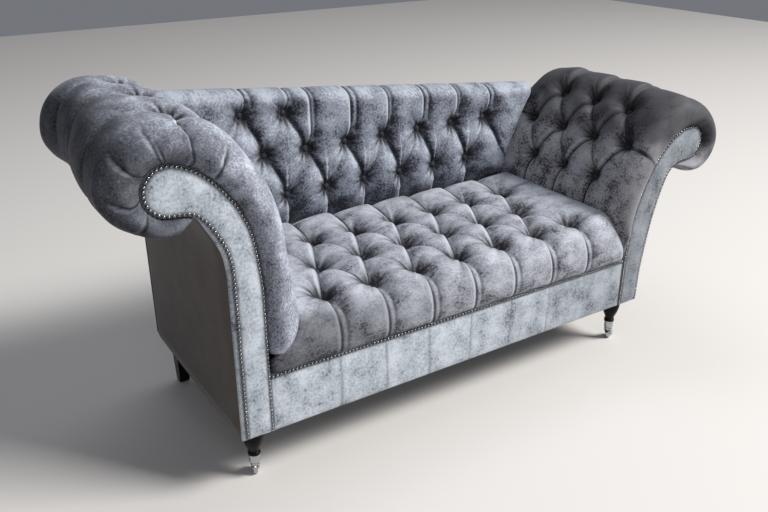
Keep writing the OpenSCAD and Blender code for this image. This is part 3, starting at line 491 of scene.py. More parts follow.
def back_tufting():
    cloth = Tufting(0.017, 0.42, 0.07, 0.027)
    second = BACK_FIRST + BACK_ROW
    for i in range(-3, 4):
        x = i * BACK_PITCH
        cloth.button((x, BACK_FIRST))
        cloth.crease((x, BACK_FIRST), (x + 0.006, BACK_FIRST - 0.06), (0.8, 0.9), 0.045, 1, 0.007, 0.9)
        cloth.crease((x + 0.006, BACK_FIRST - 0.06), (x + 0.005, 0.28), (0.9, 0.8), 0.045, 1, 0.007, 0.9)
    for i in range(-4, 4):
        x = (i + 0.5) * BACK_PITCH
        cloth.button((x, second))
        lower = BACK_FIRST + (0.03 if i == 3 else 0)
        crisp_fold(cloth, (x, second), ((i + 1) * BACK_PITCH, lower), 0.42)
        cloth.crease((x, second), (i * BACK_PITCH, BACK_FIRST), (0.16, 0.14), 0.02, 1, 0.014)
        if i >= -2:
            back_pleat(cloth, x, second, i)
    for i in (-3, -2):
        x = i * BACK_PITCH
        third = back_third(x)
        cloth.button((x, third))
        back_pleat(cloth, x, third, i)
        crisp_fold(cloth, (x, third), (x + BACK_PITCH / 2, second), 0.4)
        cloth.crease((x, third), (x - BACK_PITCH / 2, second), (0.16, 0.14), 0.02, 1, 0.014)
    return cloth


def crisp_fold(cloth, high, low, deep):
    """A sharp fold that bows a little, with a narrow lip beside it."""
    middle = ((high[0] + low[0]) / 2 + 0.007, (high[1] + low[1]) / 2 + 0.007)
    for a, b in ((high, middle), (middle, low)):
        cloth.crease(a, b, (deep, deep), 0.022, -1, shade=0.2)
    cloth.crease((middle[0] + 0.01, middle[1] + 0.004), (low[0] + 0.01, low[1] + 0.02),
                 (0.06, 0.14), 0.006, -1)


def back_pleat(cloth, x, z, i):
    """A pleat from a button over the top edge, with a second line beside it."""
    cloth.crease((x, z), (x + 0.012, z + 0.035), (0.5, 0.42), 0.022, -1)
    cloth.crease((x + 0.012, z + 0.035), (x + 0.004, 1.1), (0.42, 0.38), 0.018, -1)
    beside = 0.020 if i % 2 else 0.013
    cloth.crease((x + 0.010 + beside, z + 0.03), (x + 0.003 + beside, 1.1), (0.16, 0.26), 0.009, -1)


def back_place(kind, a, x):
    """Depth, height, and the matching place on the frame, for one row of the back at x."""
    top = back_top(x)
    cap = top - BACK_CAP_T
    front = PAD_BACK_Y - BACK_PAD_T
    same = np.ones_like(x)
    if kind == "low":
        swell = math.sin(math.pi / 2 * min(1, max(0, (a - SEAT_TUCK) / BACK_SWELL)))
        return (PAD_BACK_Y - mix(TUCK_T, BACK_PAD_T, swell)) * same, a * same, PAD_BACK_Y * same, a * same
    if kind == "high":
        z = mix(BACK_FIRST + BACK_ROW, top - BACK_ROLL, a)
        return front * same, z, PAD_BACK_Y * same, z
    turn = math.radians(a)
    if kind == "roll":
        z = top - BACK_ROLL * (1 - math.sin(turn))
        return mix(BACK_APEX_Y, front, math.cos(turn)) * same, z, PAD_BACK_Y * same, np.minimum(z, cap)
    return (mix(BACK_APEX_Y, REAR_Y, math.sin(turn)) * same, mix(cap + BACK_LIP, top, math.cos(turn)),
            mix(PAD_BACK_Y, REAR_Y, a / 90) * same, cap)


def back_cushion():
    kinds = [("low", BORDER_TOP + GAP), ("low", 0.36)]
    kinds += [("low", z) for z in np.linspace(SEAT_TUCK, SEAT_TUCK + BACK_SWELL, 14)]
    kinds += [("low", z) for z in np.linspace(SEAT_TUCK + BACK_SWELL, BACK_FIRST, 6)[1:-1]]
    kinds += [("low", BACK_FIRST + BACK_ROW * i / FINE) for i in range(FINE + 1)]
    kinds += [("high", i / 15) for i in range(1, 16)]
    kinds += [("roll", a) for a in np.linspace(0, 90, 13)[1:]]
    kinds += [("over", a) for a in np.linspace(0, 90, 11)[1:]]
    half = 4 * BACK_PITCH
    inner = np.linspace(-half, half, 16 * FINE + 1)
    cloth_rows, rows, unders, sides = [], [], [], [[], []]
    extra = 0.0
    before = None
    for kind, a in kinds:
        edge = []
        for e in (LEFT, RIGHT):
            z = back_place(kind, a, np.array([SIDE[e] * INNER]))[1][0]
            edge.append(SCROLLS[e].inner_at(z) - SOFT_GAP)
        spread = np.linspace(0, 1, 9)
        x = np.concatenate([-edge[LEFT] + (edge[LEFT] - half) * spread[:-1], inner,
                            half + (edge[RIGHT] - half) * spread[1:]])
        y, z, under_y, under_z = back_place(kind, a, x)
        if kind == "over":
            extra += float(np.mean(np.hypot(y - before[0], z - before[1])))
        run = z + extra if kind != "over" else before_run + extra
        if kind == "roll":
            before_run = z
        before = (y, z)
        rows.append(np.stack([x, y, z], axis=-1))
        unders.append(np.stack([x, under_y, under_z], axis=-1))
        cloth_rows.append(np.stack([x, run], axis=-1))
        for e in (LEFT, RIGHT):
            sides[e].append(unders[-1][0 if e == LEFT else -1])
    outer, under, cloth = np.array(rows), np.array(unders), np.array(cloth_rows)
    full, dark, lip = back_tufting().fullness(cloth)
    full[:, [0, -1]] = 1
    full[0] = 1
    # Painted shade over the rolled top of the back and the rows rising to it
    roll_shade = np.array([0.3 if kind in ("roll", "over") else 0.15 * a if kind == "high" else 0
                        for kind, a in kinds])
    dark = 1 - (1 - dark) * (1 - roll_shade[:, None])
    puff = lumps(cloth, 0.08, 0.06, 2)
    k = mix(BACK_SHARE, 1, np.clip(full + puff * full, 0, 1.03))
    over = np.array([kind == "over" for kind, _ in kinds])
    tucked = np.array([kind == "low" and a < SEAT_TUCK + SOFT_GAP for kind, a in kinds])
    soft_over = mix(1, k, 0.45)
    k = np.where(over[:, None], soft_over, k)
    k[-1] = 1
    k[tucked] = 1
    grid = mix(under, outer, k[..., None])
    piece = pad_piece("back_cushion", grid, full, dark, lip, cloth, [np.array(s) for s in sides], flip=True)
    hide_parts("back_pad")
    return piece


# Scroll padding
ARM_PITCH = 0.130
ARM_ROW = 0.116
ARM_FIRST = 0.247
ARM_ROWS = (5, 3)
ARM_FIRST_Y = 0.070
ARM_LAST_Y = ARM_FIRST_Y + 3 * ARM_PITCH
ARM_SHARE = 0.55
ARM_DISH = ((0.48, 0.12, 0.025), (0.46, 0.09, 0.019))
TOP_PIT = 1.5
NOSE_LOW = -60
NOSE_START = 0.020
NOSE_WRAP = 0.075
TAIL_WRAP = 0.07
NOSE_FULL = 0.45
NOSE_LEAST = 0.45
NOSE_Y = SCROLL_NOSE - SCROLL_BULGE
SCROLL_LIFT = 0.001


def nose_share(y):
    """How thick the padding of a scroll stands where it rounds its front, at depth y."""
    low = math.sin(math.radians(NOSE_LOW))
    across = np.clip((NOSE_Y - y) / SCROLL_NOSE, 0, 1)
    return (np.sqrt(1 - across ** 2) - low) / (1 - low)


def arm_button_rows(e):
    """The rows of buttons of one scroll: how far along the padding, and each one's depth."""
    rows = []
    for r in range(ARM_ROWS[e]):
        first = ARM_FIRST_Y + (0 if r % 2 else ARM_PITCH / 2)
        rows.append((ARM_FIRST + r * ARM_ROW, [first + i * ARM_PITCH for i in range(4 if r % 2 else 3)]))
    if e == LEFT:
        rows[3] = (rows[3][0] - 0.022, rows[3][1])
        rows[4] = (rows[4][0] + 0.011, [0.125, 0.295, 0.435])
    return rows


def arm_diamond(cloth, e, rows, r, i):
    """Folds from one button to the buttons of the rows below and above it."""
    s, depths = rows[r]
    for near in (r - 1, r + 1):
        if not 0 <= near < len(rows):
            continue
        for k in (0, 1):
            crisp = (k == 0) == (near > r)
            deep = (0.36, 0.36) if crisp else (0.24, 0.26)
            if e == LEFT and near > 2:
                deep = (0.2, 0.2)
            cloth.crease((depths[i], s), (rows[near][1][i + k], rows[near][0]), deep,
                         0.02 if crisp else 0.026, 1 if near > r else -1, STEEP_W if crisp else 0.01)


def arm_tufting(e):
    cloth = Tufting(0.017, *ARM_DISH[e])
    end = SCROLLS[e].over_at[-1] + 0.02
    rows = arm_button_rows(e)
    for r, (s, depths) in enumerate(rows):
        top = r == ARM_ROWS[e] - 1
        for i, y in enumerate(depths):
            cloth.button((y, s), TOP_PIT if top and e == LEFT else 1)
            if r % 2 == 0:
                arm_diamond(cloth, e, rows, r, i)
                if r == 0:
                    cloth.crease((y, s), (y + 0.006, -0.02), (0.5, 0.3), 0.02, 1)
                if top and e == RIGHT:
                    cloth.crease((y, s), (y, end), (0.4, 0.36), 0.024, 1)
                if top and e == LEFT:
                    roll_pleat(cloth, y, s, end)
        if r % 2 and e == RIGHT:
            cloth.crease((ARM_FIRST_Y, s), (-0.1, s - 0.02), (0.42, 0.2), 0.016, 1)
        if r % 2:
            cloth.crease((depths[-1], s), (0.7, s), (0.36, 0.3), 0.02, 1)
    return cloth


def bent_crease(cloth, line, deep, soft_w, lean=1, steep_w=STEEP_W):
    """A crease through several points, its depth running from the first to the last of deep."""
    steps = np.interp(np.linspace(0, 1, len(line)), np.linspace(0, 1, len(deep)), deep)
    for i, (a, b) in enumerate(zip(line, line[1:])):
        cloth.crease(a, b, (steps[i], steps[i + 1]), soft_w, lean, steep_w)


def roll_pleat(cloth, y, s, end):
    """A pleat from a button on top of the left scroll, round its outer side to its underside."""
    line = [(y, s), (y - 0.004, 0.81), (y - 0.018, 0.90), (y - 0.034, 0.985), (y - 0.05, 1.1),
            (y - 0.05, end)]
    bent_crease(cloth, line, (0.55, 0.5, 0.42, 0.36, 0.3, 0.3), 0.022, -1, 0.005)
    beside = [(y + 0.012, s + 0.03), (y + 0.012, 0.82), (y - 0.002, 0.91), (y - 0.016, 0.985)]
    bent_crease(cloth, beside, (0.02, 0.14, 0.12, 0.03), 0.006, -1)


# Pleats drawn round the tip of the left facing, as (distance round the nose, along the scroll)
TIP_PLEATS = (
    ((0.125, 0.722), (0.068, 0.744), (0.0, 0.75), (-0.031, 0.738), (-0.069, 0.727),
     (-0.118, 0.707), (-0.17, 0.70)),
    ((-0.005, 0.831), (-0.058, 0.829), (-0.103, 0.825), (-0.132, 0.817), (-0.17, 0.808)),
    ((-0.049, 0.820), (-0.085, 0.813), (-0.145, 0.80), (-0.17, 0.797)),
    ((-0.009, 0.912), (-0.045, 0.921), (-0.078, 0.923), (-0.116, 0.915), (-0.17, 0.90)),
    ((-0.025, 1.003), (-0.056, 1.021), (-0.078, 1.031), (-0.116, 1.033), (-0.17, 1.03)),
    ((-0.031, 0.643), (-0.065, 0.638), (-0.092, 0.632), (-0.14, 0.622)),
    ((-0.170, 1.095), (-0.096, 1.105), (-0.025, 1.119)),
)


def arm_gathers(e, cloth):
    """Pleats and small gathers where the padding is drawn round the tip of the facing."""
    tip_from, tip_to = ((0.55, 1.14), (0.42, 0.80))[e]
    count = (26, 16)[e]
    for i in range(count):
        s = mix(tip_from, tip_to, (i + 0.5) / count) + 0.006 * math.sin(7.3 * i)
        reach = -0.06 + 0.035 * math.sin(3.9 * i + e)
        deep = 0.07 + 0.06 * math.sin(5.1 * i + 1)
        cloth.crease((reach, s + 0.004), (-0.17, s), (0.01, deep), 0.006, 1 if i % 2 else -1, 0.004)
    if e == LEFT:
        bent_crease(cloth, TIP_PLEATS[0], (0.6, 0.5, 0.45, 0.4), 0.014, 1)
        for line in TIP_PLEATS[1:]:
            bent_crease(cloth, line, (0.12, 0.46, 0.5), 0.012, 1)


# How full each scroll stands at points of its depth: over its top, and round its outer side
TOP_FULL = (
    ((0, 1), (0.10, 1.06), (0.40, 1.08), (0.50, 0.97), (0.56, 0.86), (0.60, 0.86)),
    ((0, 0.87), (0.05, 0.9), (0.14, 1), (0.42, 1), (0.50, 0.85), (0.55, 0.66), (0.60, 0.6)),
)
SIDE_FULL = (
    ((0, 0.95), (0.10, 0.95), (0.20, 0.84), (0.32, 0.66), (0.42, 0.66), (0.50, 0.78), (0.60, 0.78)),
    ((0, 0.98), (0.42, 1), (0.5, 0.9), (0.60, 0.7)),
)
TOP_SPAN = ((0.40, 0.55), (0.30, 0.45))
SIDE_SPAN = ((0.66, 0.80), (0.62, 0.75))
TAIL_ROUND = 0.075


def scroll_full(e, s_share, y):
    """Fullness of the padding by its place along the scroll and its depth."""
    top = np.array(TOP_FULL[e])
    side = np.array(SIDE_FULL[e])
    on_top = step_between(s_share, *TOP_SPAN[e])
    on_side = step_between(s_share, *SIDE_SPAN[e])
    full = mix(1, np.interp(y, top[:, 0], top[:, 1]), on_top)
    return mix(full, np.interp(y, side[:, 0], side[:, 1]), on_side)


def arm_lengths(e):
    end = SCROLLS[e].over_at[-1]
    far = ARM_FIRST + ARM_ROW * (ARM_ROWS[e] - 1)
    fine = 2 * FINE
    return np.concatenate([np.linspace(0, 0.03, 12)[:-1], np.linspace(0.03, ARM_FIRST, 61)[:-1],
                           ARM_FIRST + ARM_ROW * np.arange((ARM_ROWS[e] - 1) * fine + 1) / fine,
                           np.linspace(far, end, int((end - far) / 0.003))[1:]])


def arm_columns(e, s):
    """Depth, distance along the cloth and thickness share, for each column of the padding."""
    over = along(SCROLLS[e].over, SCROLLS[e].over_at, s)
    behind = (over[:, 1] > back_top(SIDE[e] * (INNER + over[:, 0])) - BACK_CAP_T) | (s > s[-1] / 2)
    tail_end = np.where(behind, REAR_Y, PAD_BACK_Y)
    tail = np.where(behind, TAIL_ROUND, TUCK_T)
    base = along(SCROLLS[e].base, SCROLLS[e].over_at, s)
    thick = np.linalg.norm(over - base, axis=1) / (NOSE_FULL * SCROLL_PAD_T[e])
    nose = SCROLL_NOSE * np.maximum(NOSE_LEAST, np.sqrt(np.minimum(1, thick)))
    same = np.ones(len(s))
    low = math.sin(math.radians(NOSE_LOW))
    columns = []
    for a in np.linspace(NOSE_LOW, 78, 50):
        turn = math.radians(a)
        y = NOSE_Y - nose * math.cos(turn)
        run = NOSE_START - NOSE_WRAP * math.radians(78 - a)
        columns.append((y * same, run * same, (math.sin(turn) - low) / (1 - low) * same))
    start, _, start_k = columns[-1]
    for t in np.linspace(0, 1, 18)[1:-1]:
        y = mix(start, ARM_FIRST_Y, t)
        columns.append((y, y, mix(start_k, 1, min(1, 2 * t))))
    for j in range(6 * FINE + 1):
        y = (ARM_FIRST_Y + j * ARM_PITCH / 2 / FINE) * same
        columns.append((y, y, same))
    for t in np.linspace(0, 1, 17)[1:]:
        y = mix(ARM_LAST_Y, tail_end - tail, t)
        columns.append((y, y, same))
    for a in np.linspace(90, 0, 17)[1:]:
        turn = math.radians(a)
        y = tail_end - tail * (1 - math.cos(turn))
        run = tail_end - tail + TAIL_WRAP * (math.pi / 2 - turn)
        columns.append((y, run, math.sin(turn) * same))
    return [np.stack(part, axis=1) for part in zip(*columns)]


# Painted shade over each scroll where it turns from the light: where it starts along the scroll, how
# strong, how much less on the underside, and on the nose
SCROLL_SHADE_SPAN = ((0.60, 0.72), (0.28, 0.46))
SCROLL_SHADE = (0.78, 0.86)
UNDER_SHADE_CUT = (0.0, 0.62)
NOSE_SHADE_SPAN = ((0.46, 0.60), (0.02, 0.08))
NOSE_SHADE = (0.62, 0.5)
SHADE_EDGE_WOBBLE = 0.05


def scroll_painted_shade(e, cloth, end):
    """Painted shade over the far part of each scroll, from a given share of its length onwards, and on the
    front of its nose; the right scroll's underside gets less of it.
    """
    run, s = cloth[..., 0], cloth[..., 1]
    share = s / end + lumps(cloth, 0.05, SHADE_EDGE_WOBBLE, 7 + e)
    nose = NOSE_SHADE[e] * step_between(-run, -0.03, 0.07) * step_between(share, *NOSE_SHADE_SPAN[e])
    under = 1 - UNDER_SHADE_CUT[e] * step_between(share, 0.80, 0.90)
    return np.maximum(nose, SCROLL_SHADE[e] * step_between(share, *SCROLL_SHADE_SPAN[e])) * under


def arm_cushion(e):
    scroll = SCROLLS[e]
    s = arm_lengths(e)
    y, run, k_end = arm_columns(e, s)
    base = along(scroll.base + normals(scroll.base) * SCROLL_LIFT, scroll.over_at, s)
    over = along(scroll.over, scroll.over_at, s)
    cloth = np.stack([run, np.repeat(s[:, None], y.shape[1], 1)], axis=-1)
    plan = arm_tufting(e)
    arm_gathers(e, plan)
    full, dark, lip = plan.fullness(cloth)
    puff = lumps(cloth, 0.08, 0.05, 3 + e)
    k = k_end * mix(ARM_SHARE, 1, np.clip(full + puff * full, 0, 1.04))
    k = k * scroll_full(e, cloth[..., 1] / s[-1], y)
    out = mix(base[:, None, 0], over[:, None, 0], k)
    z = mix(base[:, None, 1], over[:, None, 1], k)
    grid = np.stack([SIDE[e] * (INNER + out), y, z], axis=-1)
    name = END_NAME[e] + "_scroll_cushion"
    # Painted shade over the far part and nose of the scroll, on top of that of its folds and pits
    dark = 1 - (1 - dark) * (1 - scroll_painted_shade(e, cloth, s[-1]))
    piece = pad_piece(name, grid, full, dark, lip, cloth, flip=(e == LEFT))
    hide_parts(END_NAME[e] + "_arm_pad")
    return piece


# Covered buttons
BUTTON_R = 0.010
BUTTON_H = 0.0075


def dome_rings(radius, height, segments, rings):
    """A low dome on its rim, as rings of points around +Z, and its faces."""
    verts = []
    for i in range(rings):
        turn = math.pi / 2 * i / rings
        for k in range(segments):
            a = 2 * math.pi * k / segments
            verts.append((radius * math.cos(turn) * math.cos(a), radius * math.cos(turn) * math.sin(a),
                          height * math.sin(turn)))
    verts.append((0, 0, height))
    faces = []
    for i in range(rings - 1):
        for k in range(segments):
            a, b = i * segments + k, i * segments + (k + 1) % segments
            faces.append((a, b, b + segments, a + segments))
    top = (rings - 1) * segments
    for k in range(segments):
        faces.append((top + k, top + (k + 1) % segments, rings * segments))
    faces.append(tuple(range(segments - 1, -1, -1)))
    return np.array(verts), faces


def scatter(name, places, verts, faces):
    """Copies of one small form at places, each a point and the way it faces."""
    all_verts, all_faces, uv = [], [], []
    for i, (point, way) in enumerate(places):
        turn = Vector(way).to_track_quat("Z", "Y").to_matrix()
        spin = Matrix.Rotation(i * 2.399, 3, "Z")
        moved = verts @ np.array(turn @ spin).T + np.array(point)
        all_faces += [tuple(v + i * len(verts) for v in f) for f in faces]
        all_verts.append(moved)
        uv.append(verts[:, :2] + np.array([0.37 * i, 0.11 * i]))
    return finish_mesh(name, np.concatenate(all_verts), all_faces, np.concatenate(uv))


def button_piece(name, node, places):
    rim, faces = dome_rings(BUTTON_R, BUTTON_H, 20, 6)
    piece = scatter(name, places, rim, faces)
    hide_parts(node)
    return piece


def seat_button_places():
    z = mix(BORDER_TOP, SEAT_CROWN, SEAT_SHARE)
    return [((x, SEAT_FIRST + w, z), (0, 0, 1)) for (x, w), _ in seat_tufting().buttons]


def back_button_places():
    y = PAD_BACK_Y - BACK_PAD_T * BACK_SHARE
    return [((x, y, z), (0, -1, 0)) for (x, z), _ in back_tufting().buttons]


def arm_button_places(e):
    scroll = SCROLLS[e]
    places = []
    for (y, s), _ in arm_tufting(e).buttons:
        base = along(scroll.base, scroll.over_at, s)
        over = along(scroll.over, scroll.over_at, s)
        way = (over - base) / np.linalg.norm(over - base)
        share = ARM_SHARE * float(scroll_full(e, s / scroll.over_at[-1], y))
        p = mix(base, over, share)
        places.append(((SIDE[e] * (INNER + p[0]), y, p[1]), (SIDE[e] * way[0], 0, way[1])))
    return places


# Nails
NAIL_R = 0.0045
NAIL_H = 0.0034
NAIL_PITCH = 0.010
NAIL_SUNK = 0.0006
NAIL_TILT = 0.12
NAIL_STRAY = 0.0005
NAIL_INSET = 0.005
OUTER_NAIL_INSET = 0.012


def nail_line(e):
    """The line of nails round a facing: both edges and the tip."""
    scroll = SCROLLS[e]
    line, side = scroll.facing, normals(scroll.facing)
    first = len(scroll.inside) + TIP_STEPS + LINE_STEPS
    inset = np.full(len(line), NAIL_INSET)
    grow = (np.arange(len(line)) - first) * NAIL_INSET * 1.5 / LINE_STEPS
    inset = np.where(np.arange(len(line)) >= first,
                     np.minimum(OUTER_NAIL_INSET, NAIL_INSET + grow), inset)
    inner = spaced(line - side * inset[:, None], BASE_STEP)
    return inner[inner[:, 1] > BASE_Z + NAIL_INSET]


def wobble(i, k):
    """A small number for nail i that looks random and is the same on each run."""
    return math.sin(i * 12.9898 + k * 4.1414) * 0.5


def nail_piece(name, points):
    verts, faces = dome_rings(NAIL_R, NAIL_H, 12, 4)
    places = []
    for i, (x, y, z) in enumerate(points):
        way = (NAIL_TILT * wobble(i, 1), -1, NAIL_TILT * wobble(i, 2))
        places.append(((x + NAIL_STRAY * wobble(i, 3), y, z + NAIL_STRAY * wobble(i, 4)), way))
    piece = scatter(name, places, verts, faces)
    return piece


# Facings: velvet over a padded board
CROWN_H = 0.009
CROWN_W = 0.013
FACING_T = 0.006
FACING_STEP = 0.0045
# Painted shade over each facing, left and right
FACING_SHADE = (0.06, 0.5)


def rise(d, height, width):
    """How far a padded panel rises at distance d from its edge."""
    return height * (1 - np.exp(-d / width))


def edge_distance(points, line):
    a, b = line[:-1], line[1:]
    run = b - a
    best = np.full(len(points), 9.0)
    for p0, r in zip(a, run):
        t = np.clip(((points - p0) @ r) / max(r @ r, 1e-12), 0, 1)
        best = np.minimum(best, np.linalg.norm(points - (p0 + t[:, None] * r), axis=1))
    return best


def inside_outline(points, line):
    hit = np.zeros(len(points), bool)
    x, z = points[:, 0], points[:, 1]
    for (x0, z0), (x1, z1) in zip(line, np.roll(line, -1, axis=0)):
        cross = (z0 > z) != (z1 > z)
        with np.errstate(divide="ignore", invalid="ignore"):
            hit ^= cross & (x < (x1 - x0) * (z - z0) / (z1 - z0) + x0)
    return hit


def crowned_sheet(outline, step, height, width):
    """Points and triangles of a padded panel, raised away from its edges."""
    closed = np.concatenate([outline, outline[:1]])
    low, high = outline.min(0), outline.max(0)
    grid = np.stack(np.meshgrid(np.arange(low[0], high[0], step), np.arange(low[1], high[1], step)), -1)
    grid = grid.reshape(-1, 2)
    grid = grid[inside_outline(grid, outline)]
    grid = grid[edge_distance(grid, closed) > step * 0.55]
    rim = len(outline)
    points = [Vector(p) for p in np.concatenate([outline, grid])]
    edges = [(i, (i + 1) % rim) for i in range(rim)]
    verts, _, faces, _, _, _ = delaunay_2d_cdt(points, edges, [], 1, 1e-6)
    flat = np.array([tuple(v) for v in verts])
    return flat, [tuple(f) for f in faces], rise(edge_distance(flat, closed), height, width)


def panel_piece(name, flat, faces, x, outer_y, inner_y, dark=None):
    """Turns a crowned sheet into a closed panel of a little thickness."""
    n = len(flat)
    outer = np.stack([x, outer_y, flat[:, 1]], axis=1)
    inner = np.stack([x, np.full(n, inner_y), flat[:, 1]], axis=1)
    edges = dict.fromkeys((a, b) for f in faces for a, b in zip(f, f[1:] + f[:1]))
    rims = [(a, b) for a, b in edges if (b, a) not in edges]
    p0, p1, p2 = outer[list(faces[0])]
    if (np.cross(p1 - p0, p2 - p0)[1] > 0) == (outer_y[0] < inner_y):
        faces = [tuple(reversed(f)) for f in faces]
        rims = [(b, a) for a, b in rims]
    whole = faces + [tuple(v + n for v in reversed(f)) for f in faces]
    whole += [(b, a, a + n, b + n) for a, b in rims]
    if dark is not None:
        dark = np.concatenate([dark, dark])
    return finish_mesh(name, np.concatenate([outer, inner]), whole, np.concatenate([flat, flat]), dark)


def nail_shade(points, line):
    """Painted shade on the cloth along a row of nails, where it is pressed down."""
    return 0.92 * np.exp(-(edge_distance(points, line) / 0.0062) ** 2.5)


def facing_outline(e):
    """Edge of the facing's velvet, which is turned over the edge of its board."""
    edge = SCROLLS[e].facing.copy()
    edge[-1] = (COLUMN_W, BASE_Z)
    return edge


def facing_piece(e):
    flat, faces, raised = crowned_sheet(facing_outline(e), FACING_STEP, CROWN_H, CROWN_W)
    # Painted shade along the nails and over the whole facing, much more on the right one
    dark = np.maximum(nail_shade(flat, nail_line(e)), FACING_SHADE[e])
    x = SIDE[e] * (INNER + flat[:, 0])
    piece = panel_piece(END_NAME[e] + "_facing_cover", flat, faces, x, -raised, FACING_T - GAP, dark)
    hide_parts(END_NAME[e] + "_facing")
    return piece


def facing_nails(e):
    points = spaced(nail_line(e), NAIL_PITCH)
    outline = facing_outline(e)
    closed = np.concatenate([outline, outline[:1]])
    raised = rise(edge_distance(points, closed), CROWN_H, CROWN_W)
    seat = [(SIDE[e] * (INNER + x), -h + NAIL_SUNK, z) for (x, z), h in zip(points, raised)]
    return nail_piece(END_NAME[e] + "_facing_nails", seat)


# Outside panels, drawn flat from behind each facing to the rear
PANEL_BULGE = ((-0.0015, 0.0065), (0, 0.008), (0, 0.06), (0.0015, 0.2), (0.002, 0.32), (0.0015, 0.46),
               (0, REAR_Y - 0.02), (-0.002, BODY_D - 0.003))


def outside_piece(e):
    line = SCROLLS[e].outside[LINE_STEPS:]
    side = normals(line)
    ring = list(PANEL_BULGE)
    back = [(-COVER_T, y) for _, y in (ring[-1], ring[0])]
    loop = np.array([[(p[0] + n[0] * d, y, p[1] + n[1] * d) for d, y in ring + back]
                     for p, n in zip(line, side)])
    loop[..., 0] = SIDE[e] * (INNER + loop[..., 0])
    n, m = loop.shape[:2]
    faces = []
    for i in range(n - 1):
        for j in range(m):
            a, b = i * m + j, i * m + (j + 1) % m
            faces.append((a, b, b + m, a + m))
    faces += [tuple(range(m - 1, -1, -1)), tuple(range((n - 1) * m, n * m))]
    if e == RIGHT:
        faces = [tuple(reversed(f)) for f in faces]
    at = lengths(line)
    across = np.concatenate([lengths(np.array(ring)), np.zeros(len(back))])
    uv = np.stack(np.meshgrid(across, at), axis=-1).reshape(-1, 2)
    piece = finish_mesh(END_NAME[e] + "_outside_cover", loop.reshape(-1, 3), faces, uv)
    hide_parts(END_NAME[e] + "_outside_panel")
    return piece


# Plain border under the seat, and its nails
BORDER_CROWN_H = 0.004
BORDER_CROWN_W = 0.012
BORDER_STEP = 0.0035
SEAM_W = 0.0028
SEAM_DEPTH = 0.0016
SEAM_SHIFT = 0.006


def border_outline():
    half = INNER - GAP
    low, high = [(-half, BASE_Z), (half, BASE_Z)], [(half, BORDER_TOP), (-half, BORDER_TOP)]
    corners = low + high + low[:1]
    sides = zip(corners, corners[1:], (90, 20, 90, 20))
    return np.concatenate([np.linspace(a, b, count)[:-1] for a, b, count in sides])


def border_piece():
    half = INNER - GAP
    flat, faces, raised = crowned_sheet(border_outline(), BORDER_STEP, BORDER_CROWN_H, BORDER_CROWN_W)
    nails_at = np.array([(-half, BORDER_TOP - NAIL_INSET), (half, BORDER_TOP - NAIL_INSET)])
    # Painted shade along the nails and growing towards the right end of the border
    dark = np.maximum(nail_shade(flat, nails_at), 0.34 * step_between(flat[:, 0], -0.1, 0.55))
    for i in range(-3, 4):
        wander = 0.004 * np.sin(9 * flat[:, 1] + i)
        seam = np.exp(-np.abs(flat[:, 0] - i * SEAT_PITCH - SEAM_SHIFT + wander) / SEAM_W)
        raised = raised - SEAM_DEPTH * seam
        # Painted shade along each seam
        dark = np.maximum(dark, 0.55 * seam)
    piece = panel_piece("border_cover", flat, faces, flat[:, 0], -raised, FACING_T - GAP, dark)
    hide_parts("front_border")
    return piece


def border_nails():
    z = BORDER_TOP - NAIL_INSET
    xs = np.linspace(-INNER + NAIL_INSET, INNER - NAIL_INSET, round(2 * INNER / NAIL_PITCH))
    return nail_piece("border_nails", [(x, -0.0012, z) for x in xs])


# Outside back
REAR_STEP = 0.020
REAR_CROWN_H = 0.004
REAR_CROWN_W = 0.020
REAR_SUNK = 0.002
REAR_EDGE_STEP = 0.012


def outside_back_outline():
    """The edge of the rear: both scrolls and the sloping top between them."""
    sides = []
    for e in (RIGHT, LEFT):
        scroll = SCROLLS[e]
        low = back_top(SIDE[e] * INNER) - BACK_CAP_T
        out = np.interp(low, scroll.inside[:, 1], scroll.inside[:, 0])
        high = min(back_top(SIDE[e] * (INNER + out)) - BACK_CAP_T, FACING_TOP[e] - GAP)
        scrolled = scroll.facing[np.searchsorted(scroll.inside[:, 1], low):]
        line = np.concatenate([[(0, low), (out, high)], scrolled]) * (SIDE[e], 1) + (SIDE[e] * INNER, 0)
        sides.append(line if e == LEFT else line[::-1])
    outline = np.concatenate(sides)
    return spaced(np.concatenate([outline, outline[:1]]), REAR_EDGE_STEP)[:-1]


def outside_back_piece():
    """One panel over the whole rear."""
    flat, faces, raised = crowned_sheet(outside_back_outline(), REAR_STEP, REAR_CROWN_H, REAR_CROWN_W)
    outer_y = BODY_D - REAR_SUNK + raised
    piece = panel_piece("outside_back_cover", flat, faces, flat[:, 0], outer_y, REAR_Y)
    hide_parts("outside_back_panel")
    return piece


